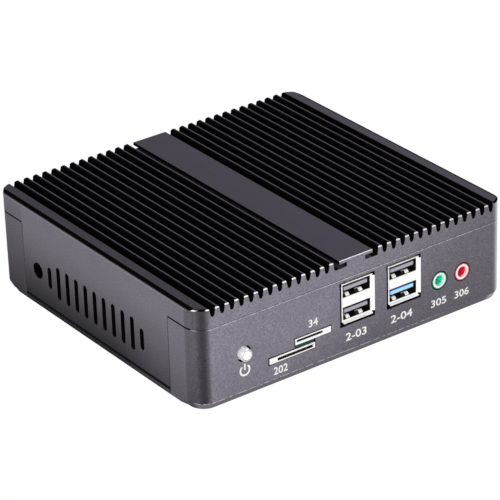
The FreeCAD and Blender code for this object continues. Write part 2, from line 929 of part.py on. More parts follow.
def cut_rear_openings(body):
    """Openings for the power inlet, the two display sockets and the two network sockets."""
    gap = size.socket_gap
    rear = Drawing(body, "XZ_Plane", "rear_outlines", offset=front_face)
    rear.circle(dc_x, dc_height, size.dc_barrel_radius + gap)

    hdmi_half = size.hdmi_width / 2 + gap
    hdmi_low = board_top - gap
    hdmi_high = board_top + size.hdmi_shell_height + gap
    rear.rectangle(size.hdmi_x - hdmi_half, hdmi_low, size.hdmi_x + hdmi_half, hdmi_high)

    rear.polygon(d_outline(size.vga_x, vga_height, gap))
    for side in (-1, 1):
        x = size.vga_x + side * size.vga_screw_spacing / 2
        rear.circle(x, vga_height, size.vga_screw_bore_radius + gap)

    lan_half = size.lan_width / 2 + gap
    lan_high = board_top + size.lan_shell_height + gap
    for x in (lan_x, lan_x + size.lan_spacing):
        rear.rectangle(x - lan_half, board_top - gap, x + lan_half, lan_high)
    pocket(body, rear, "rear_openings", size.wall + size.seam_gap, reverse=True)


def d_outline(x, z, gap):
    """The display socket's D, wider at the top, grown by a gap."""
    top_half = size.vga_top_width / 2 + gap
    bottom_half = size.vga_bottom_width / 2 + gap
    half_height = size.vga_shell_height / 2 + gap
    return [
        (x - bottom_half, z - half_height), (x + bottom_half, z - half_height),
        (x + top_half, z + half_height), (x - top_half, z + half_height),
    ]


def rubber_feet():
    disc = cylinder("foot_disc", 0, 0, 0, size.foot_radius, size.foot_height)
    places = four_corners(foot_x, foot_y)
    keep(copies(disc, "rubber_feet", places), "rubber_feet")


def cover_screws():
    """Countersunk screws up through the floor into the cover's columns."""
    cone = size.screw_head_radius - size.screw_shank_radius
    head = document.addObject("Part::Cone", "cover_screw_head")
    bind(head, "Radius1", size.screw_head_radius)
    bind(head, "Radius2", size.screw_shank_radius)
    bind(head, "Height", cone)
    shank = hexagon("cover_screw_shank", size.screw_shank_radius, size.screw_length)
    screw = fuse("cover_screw", head, shank)
    places = four_corners(column_x, column_y)
    keep(copies(screw, "cover_screws", places), "cover_screws", z=size.foot_height)


# --- Board and its fixings ------------------------------------------------------------------


def main_board():
    body = new_body("board")
    notch_x = board_half_x - size.board_notch_x
    notch_y = board_half_y - size.board_notch_y
    plan = Drawing(body, "XY_Plane", "board_plan", offset=board_height)
    plan.polygon([
        (-notch_x, -board_half_y), (notch_x, -board_half_y),
        (notch_x, -notch_y), (board_half_x, -notch_y),
        (board_half_x, notch_y), (notch_x, notch_y),
        (notch_x, board_half_y), (-notch_x, board_half_y),
        (-notch_x, notch_y), (-board_half_x, notch_y),
        (-board_half_x, -notch_y), (-notch_x, -notch_y),
    ])
    for x, y, _ in four_corners(standoff_x, standoff_y):
        plan.circle(x, y, size.board_screw_radius + size.running_gap)
    pad(body, plan, "board_plate", size.board_thickness)
    keep(body, "main_board", z=size.foot_height)


def board_standoffs():
    """Hexagonal posts between the floor and the board, tapped at the top."""
    length = board_height - size.base_plate
    post = hexagon("standoff_post", size.standoff_across_flats / 3 ** 0.5, length)
    bore_low = length - board_screw_depth
    bore = cylinder("standoff_bore", 0, 0, bore_low, size.board_screw_radius, length)
    post = cut("standoff", post, bore)
    places = four_corners(standoff_x, standoff_y, size.base_plate)
    keep(copies(post, "board_standoffs", places), "board_standoffs", z=size.foot_height)


def board_screws():
    """Hexagon-head screws through the board into the standoffs."""
    reach = size.board_thickness + board_screw_depth - size.running_gap
    radius = size.board_screw_radius - size.fit_gap
    shank = hexagon("board_screw_shank", radius, reach)
    place_at(shank, 0, 0, -reach)
    head_radius = size.board_screw_head_radius
    head = hexagon("board_screw_head", head_radius, size.board_screw_head_height)
    screw = fuse("board_screw", shank, head)
    places = four_corners(standoff_x, standoff_y, board_top)
    keep(copies(screw, "board_screws", places), "board_screws", z=size.foot_height)


# --- Power button ---------------------------------------------------------------------------


def place_button_piece(item, label):
    keep(item, label, button_x, front_face, button_height + size.foot_height)


def button_cap():
    """A turned cap with a flange behind the front wall, a lens seat and a key on top."""
    body = new_body("button")
    seat = size.lens_depth - size.button_reach
    seat_radius = size.lens_radius + size.fit_gap
    flange_front = size.wall + size.running_gap
    flange_back = flange_front + size.button_flange
    stem_end = flange_back + size.button_stem
    profile = Drawing(body, "XY_Plane", "button_profile")
    profile.polygon([
        (0, seat), (seat_radius, seat), (seat_radius, -size.button_reach),
        (size.button_radius - size.button_chamfer, -size.button_reach),
        (size.button_radius, size.button_chamfer - size.button_reach),
        (size.button_radius, flange_front), (size.button_flange_radius, flange_front),
        (size.button_flange_radius, flange_back), (size.button_stem_radius, flange_back),
        (size.button_stem_radius, stem_end), (0, stem_end),
    ])
    revolve(body, profile, "button_turned")

    key = Drawing(body, "XZ_Plane", "button_key_outline", offset=size.button_reach)
    half_key = size.button_key_width / 2
    key_foot = size.button_radius - size.button_key_height
    key.rectangle(-half_key, key_foot, half_key, size.button_radius + size.button_key_height)
    pad(body, key, "button_key", size.button_reach + flange_front, reverse=True)
    place_button_piece(body, "button_cap")


def button_lens():
    """The clear disc let into the front of the cap, slightly domed."""
    body = new_body("lens")
    back = size.lens_depth - size.button_reach
    rim = size.lens_dome - size.button_reach
    profile = Drawing(body, "XY_Plane", "lens_profile")
    profile.polygon([
        (0, back), (0, -size.button_reach), (size.lens_radius / 2, -size.button_reach),
        (size.lens_radius, rim), (size.lens_radius, back),
    ])
    revolve(body, profile, "lens_turned")
    place_button_piece(body, "button_lens")


def button_plunger():
    """The square plunger of the switch, pushed by the cap's stem."""
    start = size.wall + size.running_gap + size.button_flange + size.button_stem
    width = size.plunger_width
    rod = box("plunger_rod", -width / 2, start, -width / 2, width, size.plunger_length, width)
    keep(
        rod, "button_plunger", button_x - width / 2, front_face + start,
        button_height - width / 2 + size.foot_height,
    )


def button_switch():
    """The switch housing on the board, with a square hole for the plunger."""
    stem_end = size.wall + size.running_gap + size.button_flange + size.button_stem
    front = stem_end + size.button_travel + size.running_gap
    low = board_top - button_height
    width = size.switch_width
    block = box(
        "switch_block", -width / 2, front, low, width, size.switch_length,
        size.switch_body_height,
    )
    hole_width = size.plunger_width + 2 * size.running_gap
    hole_end = stem_end + size.plunger_length + size.button_travel + size.running_gap
    hole = box(
        "switch_hole", -hole_width / 2, front - size.running_gap, -hole_width / 2,
        hole_width, hole_end - front + size.running_gap, hole_width,
    )
    place_button_piece(cut("switch", block, hole), "button_switch")


# --- Front sockets --------------------------------------------------------------------------


def card_holder(label, x, z, width, height, depth, mouth_width, mouth_shift, mouth_z):
    """A flat metal card holder with its mouth in the front face."""
    shell = box(
        f"{label}_block", -width / 2, -size.card_reach, 0, width, depth, height
    )
    mouth = box(
        f"{label}_mouth", mouth_shift - mouth_width / 2, -2 * size.card_reach, mouth_z,
        mouth_width, depth - size.wall, size.card_mouth_height,
    )
    keep(cut(label, shell, mouth), label, x, front_face, z + size.foot_height)


def card_holders():
    sim_z = board_height - size.sim_holder_height
    card_holder(
        "sim_holder", size.sim_x, sim_z, size.sim_width, size.sim_holder_height,
        size.sim_depth, size.sim_mouth_width, size.sim_mouth_shift, size.card_skin,
    )
    tf_mouth_z = size.tf_holder_height - size.card_skin - size.card_mouth_height
    card_holder(
        "tf_holder", size.tf_x, board_top, size.tf_width, size.tf_holder_height,
        size.tf_depth, size.tf_mouth_width, size.tf_mouth_shift, tf_mouth_z,
    )


def flare(name, half_width, half_height, front, back, grow_side, grow_top):
    """A block that widens from its back face to its front face."""
    item = document.addObject("Part::Wedge", name)
    sizes = {
        "Xmin": -half_width - grow_side, "Xmax": half_width + grow_side,
        "Zmin": -half_height - grow_top, "Zmax": half_height + grow_top,
        "X2min": -half_width, "X2max": half_width,
        "Z2min": -half_height, "Z2max": half_height,
        "Ymin": front, "Ymax": back,
    }
    for prop, value in sizes.items():
        bind(item, prop, value)
    return item


def usb_shell(index, x):
    """The folded steel shell of a stacked socket, with flared lips round its mouth."""
    name = f"usb_shell_{index}"
    skin = size.usb_skin
    half_width = size.usb_width / 2
    half_height = size.usb_stack_height / 2
    front = size.usb_recess
    lip = front - size.usb_flare_length
    body = box(
        f"{name}_body", -half_width, front, -half_height,
        size.usb_width, size.usb_depth, size.usb_stack_height,
    )
    lips = flare(
        f"{name}_lips", half_width, half_height, lip, front,
        size.usb_flare_side, size.usb_flare_top,
    )
    leg_height = usb_height - half_height - board_top
    legs = [
        box(
            f"{name}_leg{side}", leg_x, size.wall + size.usb_flare_length,
            -half_height - leg_height, skin, size.usb_depth / 2, leg_height + skin,
        )
        for side, leg_x in enumerate((-half_width, half_width - skin))
    ]
    whole = fuse(name, body, lips, *legs)

    tools = [
        flare(
            f"{name}_throat", half_width - skin, half_height - skin, lip, front,
            size.usb_flare_side, size.usb_flare_top,
        )
    ]
    corner = size.usb_flare_corner
    lip_x = half_width + size.usb_flare_side
    lip_z = half_height + size.usb_flare_top
    for corner_index, (side, up) in enumerate(((-1, -1), (1, -1), (1, 1), (-1, 1))):
        centre_x = side * lip_x
        centre_z = up * lip_z
        tools.append(
            box(
                f"{name}_corner{corner_index}", centre_x - corner / 2, lip,
                centre_z - corner / 2, corner, size.usb_flare_length, corner,
            )
        )
    for port, up in enumerate((-1, 1)):
        port_z = up * size.usb_port_pitch / 2 - size.usb_port_height / 2
        tools.append(
            box(
                f"{name}_port{port}", -size.usb_port_width / 2, front, port_z,
                size.usb_port_width, size.usb_depth - skin, size.usb_port_height,
            )
        )
    whole = cut(name, whole, *tools)
    keep(whole, name, x, front_face, usb_height + size.foot_height)


def usb_insert(index, level, x, up):
    """The moulded tongue of one port, with the block that holds it at the back."""
    name = f"usb_insert_{index}_{level}"
    gap = size.fit_gap
    centre_z = up * size.usb_port_pitch / 2
    back = size.usb_recess + size.usb_depth - size.usb_skin
    root_front = back - size.usb_root_length
    tongue_front = size.usb_recess + size.usb_tongue_setback
    root_width = size.usb_port_width - 2 * gap
    root_height = size.usb_port_height - 2 * gap
    root = box(
        f"{name}_root", -root_width / 2, root_front,
        centre_z - root_height / 2, root_width, size.usb_root_length, root_height,
    )
    tongue_z = centre_z + size.usb_tongue_rise - size.usb_tongue_height / 2
    tongue_width = size.usb_tongue_width
    tongue = box(
        f"{name}_tongue", -tongue_width / 2, tongue_front, tongue_z,
        tongue_width, root_front - tongue_front, size.usb_tongue_height,
    )
    keep(fuse(name, root, tongue), name, x, front_face, usb_height + size.foot_height)


def usb_sockets():
    for index, x in ((1, size.usb_x), (2, size.usb_x + size.usb_spacing)):
        usb_shell(index, x)
        usb_insert(index, "lower", x, -1)
        usb_insert(index, "upper", x, 1)


def sound_socket(label, x):
    """A round sound socket: barrel through the wall, body on the board, blind bore."""
    front = -size.jack_reach
    body_front = size.wall + size.running_gap
    low = board_top - jack_height
    barrel = cylinder(
        f"{label}_barrel", 0, front, 0, size.jack_barrel_radius,
        size.jack_reach + size.wall + 2 * size.running_gap, along_y=True,
    )
    block = box(
        f"{label}_block", -size.jack_body_width / 2, body_front, low,
        size.jack_body_width, size.jack_body_length, size.jack_body_height,
    )
    bore = cylinder(
        f"{label}_bore", 0, front, 0, size.jack_bore_radius, size.jack_bore_depth,
        along_y=True,
    )
    seat = cylinder(
        f"{label}_seat", 0, front, 0, size.collar_outer_radius, size.collar_depth,
        along_y=True,
    )
    whole = cut(label, fuse(label, barrel, block), bore, seat)
    keep(whole, label, x, front_face, jack_height + size.foot_height)


def sound_collar(label, x):
    """The plated ring let into the mouth of a sound socket."""
    gap = size.fit_gap
    front = -size.jack_reach
    outer = cylinder(
        f"{label}_outer", 0, front, 0, size.collar_outer_radius - gap, size.collar_depth,
        along_y=True,
    )
    inner = cylinder(
        f"{label}_inner", 0, front, 0, size.collar_inner_radius, size.collar_depth,
        along_y=True,
    )
    whole = cut(label, outer, inner)
    keep(whole, label, x, front_face, jack_height + size.foot_height)


def sound_sockets():
    for word, x in (("out", jack_x), ("mic", jack_x + size.jack_spacing)):
        sound_socket(f"sound_socket_{word}", x)
        sound_collar(f"sound_collar_{word}", x)


# --- Rear sockets: drawn as the front ones, then turned half a turn ---------------------------


def keep_rear(item, label, x, z):
    """Set a rear socket in place, facing +Y."""
    turn = FreeCAD.Rotation(FreeCAD.Vector(0, 0, 1), 180)
    item.Placement = FreeCAD.Placement(FreeCAD.Vector(), turn)
    keep(item, label, x, rear_face, z + size.foot_height)


def power_inlet():
    """The round low-voltage inlet: a moulded body and the pin down its middle."""
    low = board_top - dc_height
    body_front = size.wall + size.running_gap
    barrel = cylinder(
        "dc_barrel", 0, 0, 0, size.dc_barrel_radius, body_front + size.running_gap,
        along_y=True,
    )
    block = box(
        "dc_block", -size.dc_body_width / 2, body_front, low,
        size.dc_body_width, size.dc_body_length, size.dc_body_height,
    )
    bore = cylinder("dc_bore", 0, 0, 0, size.dc_bore_radius, size.dc_bore_depth, along_y=True)
    whole = cut("dc_inlet", fuse("dc_inlet", barrel, block), bore)
    keep_rear(whole, "dc_inlet", dc_x, dc_height)

    pin = cylinder(
        "dc_pin_rod", 0, size.wall / 2, 0, size.dc_pin_radius,
        size.dc_bore_depth - size.wall / 2, along_y=True,
    )
    keep_rear(group("dc_pin", pin), "dc_pin", dc_x, dc_height)


def hdmi_outline(inset):
    """The flat display socket's outline, narrower at the bottom, drawn in by an inset."""
    half_width = size.hdmi_width / 2 - inset
    half_height = size.hdmi_shell_height / 2 - inset
    corner = size.hdmi_corner
    return [
        (corner - half_width, -half_height), (half_width - corner, -half_height),
        (half_width, corner - half_height), (half_width, half_height),
        (-half_width, half_height), (-half_width, corner - half_height),
    ]


def hdmi_socket():
    height = board_top + size.hdmi_shell_height / 2
    skin = size.hdmi_skin
    shell = new_body("hdmi_tube")
    outside = Drawing(shell, "XZ_Plane", "hdmi_outside")
    outside.polygon(hdmi_outline(0))
    pad(shell, outside, "hdmi_block", size.hdmi_depth, reverse=True)
    inside = Drawing(shell, "XZ_Plane", "hdmi_inside")
    inside.polygon(hdmi_outline(skin))
    pocket(shell, inside, "hdmi_hollow", size.hdmi_depth - skin)
    keep_rear(shell, "hdmi_shell", size.hdmi_x, height)

    insert = new_body("hdmi_core")
    root = Drawing(insert, "XZ_Plane", "hdmi_root_outline", offset=skin - size.hdmi_depth)
    root.polygon(hdmi_outline(skin + size.fit_gap))
    pad(insert, root, "hdmi_root", size.hdmi_root_length)
    tongue = Drawing(insert, "XZ_Plane", "hdmi_tongue_outline", offset=-size.wall / 2)
    half_width = size.hdmi_tongue_width / 2
    half_height = size.hdmi_tongue_height / 2
    tongue.rectangle(-half_width, -half_height, half_width, half_height)
    reach = size.hdmi_depth - skin - size.wall / 2 - size.hdmi_root_length / 2
    pad(insert, tongue, "hdmi_tongue", reach, reverse=True)
    keep_rear(insert, "hdmi_insert", size.hdmi_x, height)


def vga_socket():
    flange_front = size.wall + size.running_gap
    flange_back = flange_front + size.vga_flange_thickness
    skin = size.vga_skin

    shell = new_body("vga_tube")
    outside = Drawing(shell, "XZ_Plane", "vga_outside", offset=size.vga_reach)
    outside.polygon(d_outline(0, 0, 0))
    pad(shell, outside, "vga_block", size.vga_reach + flange_back, reverse=True)
    fillet(shell, "vga_round_corners", is_along_y, size.vga_corner)
    plate = Drawing(shell, "XZ_Plane", "vga_flange_outline", offset=-flange_front)
    half_plate = size.vga_flange_width / 2
    half_plate_height = size.vga_flange_height / 2
    plate.rectangle(-half_plate, -half_plate_height, half_plate, half_plate_height)
    pad(shell, plate, "vga_flange", size.vga_flange_thickness, reverse=True)
    inside = Drawing(shell, "XZ_Plane", "vga_inside", offset=size.vga_reach)
    inside.polygon(d_outline(0, 0, -skin))
    hollow = pocket(shell, inside, "vga_hollow", size.vga_reach + flange_back)
    inner_length = hollow.Length.Value
    fillet(
        shell, "vga_inner_corners",
        lambda edge: is_along_y(edge) and near(edge.Length, inner_length),
        size.vga_corner - skin,
    )
    holes = Drawing(shell, "XZ_Plane", "vga_screw_outlines", offset=-flange_front)
    radius = size.vga_screw_bore_radius
    hole_radius = radius + size.vga_screw_hole_gap
    for side in (-1, 1):
        holes.circle(side * size.vga_screw_spacing / 2, 0, hole_radius)
    pocket(shell, holes, "vga_screw_holes", size.vga_flange_thickness + size.running_gap)
    keep_rear(shell, "vga_shell", size.vga_x, vga_height)

    insert = new_body("vga_core")
    plug = Drawing(insert, "XZ_Plane", "vga_plug_outline", offset=size.vga_reach - skin)
    plug.polygon(d_outline(0, 0, -skin - size.fit_gap))
    pad(insert, plug, "vga_plug", size.vga_reach - skin + flange_back, reverse=True)
    fillet(insert, "vga_plug_corners", is_along_y, size.vga_corner - skin)
    low = board_top - vga_height
    block = Drawing(insert, "XZ_Plane", "vga_block_outline", offset=-flange_back)
    half_block = size.vga_body_width / 2
    block.rectangle(-half_block, low, half_block, size.vga_flange_height / 2)
    pad(insert, block, "vga_body", size.vga_body_length, reverse=True)
    keep_rear(insert, "vga_insert", size.vga_x, vga_height)

    bar = hexagon("vga_screw_bar", size.vga_screw_radius, size.vga_screw_reach)
    turn = FreeCAD.Rotation(FreeCAD.Vector(1, 0, 0), -90)
    bar.Placement = FreeCAD.Placement(FreeCAD.Vector(), turn)
    place_at(bar, 0, -size.vga_screw_reach, 0)
    stud = hexagon("vga_screw_stud", radius, flange_back)
    stud.Placement = FreeCAD.Placement(FreeCAD.Vector(), turn)
    hole = cylinder(
        "vga_screw_hole", 0, -size.vga_screw_reach, 0, radius,
        size.vga_screw_reach - size.vga_screw_radius / 2, along_y=True,
    )
    screw = cut("vga_screw", fuse("vga_screw", bar, stud), hole)
    places = [(side * size.vga_screw_spacing / 2, 0, 0) for side in (-1, 1)]
    pair = copies(screw, "vga_screws", places)
    keep_rear(pair, "vga_screws", size.vga_x, vga_height)


def network_socket(index, x):
    """A steel shell open at the front, and the moulded core with the plug's opening."""
    width = size.lan_width
    height = size.lan_shell_height
    depth = size.lan_depth
    skin = size.lan_skin
    centre_height = board_top + height / 2
    block = box(f"lan_block_{index}", -width / 2, 0, -height / 2, width, depth, height)
    room = box(
        f"lan_room_{index}", skin - width / 2, 0, skin - height / 2,
        width - 2 * skin, depth - skin, height - 2 * skin,
    )
    shell = cut(f"lan_shell_{index}", block, room)
    keep_rear(shell, f"lan_shell_{index}", x, centre_height)

    inset = skin + size.fit_gap
    core = box(
        f"lan_core_{index}", inset - width / 2, skin, inset - height / 2,
        width - 2 * inset, depth - 2 * skin - size.fit_gap, height - 2 * inset,
    )
    port_width = size.lan_port_width
    port_height = size.lan_port_height
    port_low = -size.lan_port_drop - port_height / 2
    port = box(
        f"lan_port_{index}", -port_width / 2, 0, port_low,
        port_width, size.lan_port_depth, port_height,
    )
    latch_width = size.lan_latch_width
    latch = box(
        f"lan_latch_{index}", -latch_width / 2, 0, port_low - size.lan_latch_height,
        latch_width, size.lan_port_depth / 2, size.lan_latch_height,
    )
    insert = cut(f"lan_insert_{index}", core, port, latch)
    keep_rear(insert, f"lan_insert_{index}", x, centre_height)


def network_sockets():
    for index in (1, 2):
        network_socket(index, lan_x + (index - 1) * size.lan_spacing)


# --- Inside: parts on the board ---------------------------------------------------------------


def keep_on_board(item, label, x, y):
    keep(item, label, x, y, board_top + size.foot_height)


def processor():
    """The processor, its soft pad and the block that reaches the cover."""
    die_width = size.cpu_die_width
    carrier = centred_box(
        "cpu_carrier", 0, 0, 0, size.cpu_width, size.cpu_depth, size.cpu_thickness / 2
    )
    die = centred_box(
        "cpu_die", 0, 0, size.cpu_thickness / 2, die_width, die_width, size.cpu_thickness / 2
    )
    keep_on_board(fuse("cpu", carrier, die), "processor", 0, size.cpu_y)

    pad_sheet = centred_box(
        "pad_sheet", 0, 0, 0, size.pad_width, size.pad_width, size.pad_thickness
    )
    keep(
        group("pad", pad_sheet), "thermal_pad", 0, size.cpu_y,
        board_top + size.cpu_thickness + size.foot_height,
    )

    block = new_body("heat_path")
    half = size.heat_block_width / 2
    foot = board_top + size.cpu_thickness + size.pad_thickness
    plan = Drawing(block, "XY_Plane", "heat_block_plan", offset=foot)
    plan.rectangle(-half, -half, half, half)
    pad(block, plan, "heat_block_body", slab_underside - foot)
    chamfer(block, "heat_block_corners", is_upright, size.heat_block_chamfer)
    keep(block, "heat_block", 0, size.cpu_y, size.foot_height)


def memory():
    """A memory module lying flat, its long edge in a socket with two latch arms."""
    length = size.memory_length
    width = size.memory_width
    card = centred_box(
        "memory_card", 0, 0, size.memory_lift, width, length, size.module_thickness
    )
    top = size.memory_lift + size.module_thickness
    chips = [
        centred_box(
            f"memory_chip_{index}", -size.memory_socket_width / 2,
            step * size.memory_chip_pitch, top,
            size.memory_chip_length, size.memory_chip_width, size.chip_thickness,
        )
        for index, step in enumerate(four_steps)
    ]
    module = fuse("memory_module", card, *chips)
    keep_on_board(module, "memory_module", memory_x, 0)

    depth = size.memory_socket_width
    arm = size.wall
    socket_length = length + 2 * arm + 2 * size.running_gap
    bar_x = width / 2 - depth / 2
    bar = box(
        "memory_bar", bar_x, -socket_length / 2, 0, depth, socket_length,
        size.memory_socket_height,
    )
    arms = [
        box(
            f"memory_arm_{index}", width / 2 - size.memory_arm_length, y, 0,
            size.memory_arm_length, arm, size.memory_socket_height,
        )
        for index, y in enumerate((-socket_length / 2, socket_length / 2 - arm))
    ]
    gap = size.fit_gap
    groove = box(
        "memory_groove", bar_x, -length / 2 - gap, size.memory_lift - gap,
        depth / 2 + gap, length + 2 * gap, size.module_thickness + 2 * gap,
    )
    socket = cut("memory_socket", fuse("memory_socket", bar, *arms), groove)
    keep_on_board(socket, "memory_socket", memory_x, 0)


def storage():
    """A flash storage card in an edge socket, its free end on two posts."""
    length = size.ssd_length
    width = size.ssd_width
    card = centred_box(
        "ssd_card", 0, 0, size.ssd_lift, width, length, size.module_thickness
    )
    top = size.ssd_lift + size.module_thickness
    chips = [
        centred_box(
            f"ssd_chip_{index}", 0, y, top,
            size.ssd_chip_width, size.ssd_chip_length, size.chip_thickness,
        )
        for index, y in enumerate((size.ssd_controller_y, size.ssd_chip_y))
    ]
    keep_on_board(fuse("ssd_module", card, *chips), "ssd_module", ssd_x, size.ssd_y)

    depth = size.ssd_socket_length
    gap = size.fit_gap
    start = length / 2 - depth / 2
    bar = box("ssd_bar", -width / 2, start, 0, width, depth, size.ssd_socket_height)
    groove = box(
        "ssd_groove", -width / 2, start, size.ssd_lift - gap,
        width, depth / 2 + gap, size.module_thickness + 2 * gap,
    )
    keep_on_board(cut("ssd_socket", bar, groove), "ssd_socket", ssd_x, size.ssd_y)

    inset = size.standoff_across_flats / 2
    post = hexagon("ssd_post", inset, size.ssd_lift)
    places = [(side * (width / 2 - inset), inset - length / 2, 0) for side in (-1, 1)]
    keep_on_board(copies(post, "ssd_posts", places), "ssd_posts", ssd_x, size.ssd_y)


def clock_battery():
    """A coin cell in an open square holder."""
    room_width = 2 * (size.cell_radius + size.running_gap)
    outer = room_width + 2 * size.cell_holder_wall
    cup = centred_box("cell_cup", 0, 0, 0, outer, outer, size.cell_holder_height)
    room = centred_box(
        "cell_room", 0, 0, size.cell_holder_floor, room_width, room_width,
        size.cell_holder_height,
    )
    keep_on_board(cut("cell_holder", cup, room), "cell_holder", cell_x, cell_y)
    disc = cylinder(
        "cell_disc", 0, 0, size.cell_holder_floor, size.cell_radius, size.cell_thickness
    )
    keep_on_board(group("cell", disc), "coin_cell", cell_x, cell_y)


def power_parts():
    """A row of chokes in front of the heat block and a row of block capacitors behind."""
    choke = new_body("choke")
    half = size.choke_width / 2
    plan = Drawing(choke, "XY_Plane", "choke_plan")
    plan.rectangle(-half, -half, half, half)
    pad(choke, plan, "choke_block", size.choke_height)
    chamfer(choke, "choke_corners", is_upright, size.choke_chamfer)
    places = [(step * size.choke_pitch, 0, 0) for step in four_steps]
    row_of_chokes = copies(choke, "chokes", places)
    keep_on_board(row_of_chokes, "chokes", 0, size.choke_y)

    width = size.capacitor_width
    length = size.capacitor_length
    block = box("capacitor_block", 0, 0, 0, width, length, size.capacitor_height)
    places = [
        (step * size.capacitor_pitch - width / 2, -length / 2, 0) for step in four_steps
    ]
    row_of_capacitors = copies(block, "capacitors", places)
    keep_on_board(row_of_capacitors, "capacitors", 0, size.capacitor_y)


# --- Build, check and write -------------------------------------------------------------------


def build():
    heatsink_cover()
    base_shell()
    rubber_feet()
    cover_screws()
    main_board()
    board_standoffs()
    board_screws()
    button_cap()
    button_lens()
    button_plunger()
    button_switch()
    card_holders()
    usb_sockets()
    sound_sockets()
    power_inlet()
    hdmi_socket()
    vga_socket()
    network_sockets()
    processor()
    memory()
    storage()
    clock_battery()
    power_parts()
    document.recompute()


def check():
    """Stop if any object failed or any sub-part is not a whole, valid solid."""
    for item in document.Objects:
        if "Invalid" in item.State or "Error" in item.State:
            raise RuntimeError(f"{item.Name} failed: {item.State}")
    for item in nodes:
        shape = item.Shape
        if shape.isNull() or not shape.isValid() or not shape.Solids:
            raise RuntimeError(f"{item.Label} has no valid solid")


def write():
    os.makedirs("parts", exist_ok=True)
    for item in nodes:
        item.Shape.exportStep(f"parts/{item.Label}.step")
        solids = len(item.Shape.Solids)
        print(f"{item.Label}: {solids} solid(s), {item.Shape.Volume:.1f} mm3, {item.Shape.BoundBox}")


build()
check()
write()
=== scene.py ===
# %% [markdown]
# # A fanless industrial computer
# This lesson dresses a finished mechanical model. The model already holds the solid pieces:
# a finned aluminium cover, the tray that closes it from below, the sockets and the button.
# We give every piece its finish, add what is too fine for the solids, such as springs,
# contacts, printed marks and screw recesses, and set up a plain studio.

# %% Load the model
import json
import math
import bmesh
import bpy
from mathutils import Matrix, Vector


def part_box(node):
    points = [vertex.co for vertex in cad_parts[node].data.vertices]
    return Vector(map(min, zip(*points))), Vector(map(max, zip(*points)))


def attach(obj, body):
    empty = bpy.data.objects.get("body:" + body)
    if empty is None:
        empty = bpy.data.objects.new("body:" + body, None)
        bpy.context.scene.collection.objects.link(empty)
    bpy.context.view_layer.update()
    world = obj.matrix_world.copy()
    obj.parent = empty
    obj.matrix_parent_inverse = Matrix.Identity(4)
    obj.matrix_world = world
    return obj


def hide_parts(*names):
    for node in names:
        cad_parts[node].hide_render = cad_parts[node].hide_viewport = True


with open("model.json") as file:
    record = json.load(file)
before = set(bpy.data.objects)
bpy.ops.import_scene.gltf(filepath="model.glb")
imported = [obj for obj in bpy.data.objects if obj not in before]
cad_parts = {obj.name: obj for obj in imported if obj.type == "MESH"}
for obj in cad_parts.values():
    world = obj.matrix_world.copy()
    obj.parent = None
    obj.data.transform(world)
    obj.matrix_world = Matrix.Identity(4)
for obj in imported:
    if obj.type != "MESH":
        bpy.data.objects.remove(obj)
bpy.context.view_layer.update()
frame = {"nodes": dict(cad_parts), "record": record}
nodes = frame["nodes"]
print("pieces in the model:", len(nodes))

# %% [markdown]
# The model is in metres, and a maker thinks in millimetres, so every size below is written
# in millimetres and turned once. The places come from the boxes of the solid pieces: the
# outer faces of the case, the seam between tray and cover, and the top of the fins.

# %% Places to build from
MM = 0.001


def box_mm(name):
    """Lowest and highest corner of a solid piece, in millimetres."""
    low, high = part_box(name)
    return low / MM, high / MM


def middle_mm(name):
    """Middle of a solid piece, across and up, in millimetres."""
    low, high = box_mm(name)
    return (low.x + high.x) / 2, (low.z + high.z) / 2


cover_high = box_mm("heatsink_cover")[1]
tray_low, tray_high = box_mm("base_shell")
half_width = cover_high.x
fin_top = cover_high.z
front_y = tray_low.y
rear_y = tray_high.y
middle_y = (front_y + rear_y) / 2
half_depth = (rear_y - front_y) / 2
underside = tray_low.z
seam = tray_high.z
print("front face", round(front_y, 2), "seam", round(seam, 2), "fin top", round(fin_top, 2))

# %% [markdown]
# ## The camera first
# Everything later is judged through the camera, so it comes first. It stands a little over
# a metre away and looks down on the corner beside the power button. A long lens from far
# away keeps the edges nearly parallel, which suits a small product.

# %% Camera
def linked(name, data):
    """An object with this data, linked into the scene."""
    thing = bpy.data.objects.new(name, data)
    bpy.context.scene.collection.objects.link(thing)
    return thing


camera_data = bpy.data.cameras.new("camera")
camera = linked("camera", camera_data)
bpy.context.scene.camera = camera
azimuth, elevation, roll = -0.620516, 0.4766176, -0.0329749
distance = 1.07461
look_at = Vector((15.5151, 20.1703, 2.595)) * MM
backward = Vector((math.sin(azimuth) * math.cos(elevation),
                   -math.cos(azimuth) * math.cos(elevation), math.sin(elevation)))
right = Vector((0, 0, 1)).cross(backward).normalized()
up = backward.cross(right)
tilted_right = math.cos(roll) * right + math.sin(roll) * up
tilted_up = math.cos(roll) * up - math.sin(roll) * right
turn = Matrix((tilted_right, tilted_up, backward)).transposed().to_4x4()
camera.matrix_world = Matrix.Translation(look_at + distance * backward) @ turn
camera_data.sensor_width = 36
camera_data.lens = 208.2175
camera_data.clip_start = 0.05
camera_data.clip_end = 20
print("camera stands at", [round(value, 3) for value in camera.matrix_world.translation])

# %% [markdown]
# ## The studio
# The set is a white cove: a floor that goes on for ever and a white room round it. The
# camera sees the room at full white. Its even light is weak, so that the big soft lamp
# beside the camera gives each side of the case its own tone, and black stays black. Much of
# the case's shade and its highlights are also painted into its finish.

# %% Room
def fresh_tree(holder):
    """An empty node tree to lay nodes in."""
    holder.use_nodes = True
    holder.node_tree.nodes.clear()
    return holder.node_tree


def new_node(tree, kind, **inputs):
    """A node of a kind, with some of its inputs set."""
    node = tree.nodes.new("ShaderNode" + kind)
    for name, value in inputs.items():
        node.inputs[name.replace("_", " ")].default_value = value
    return node


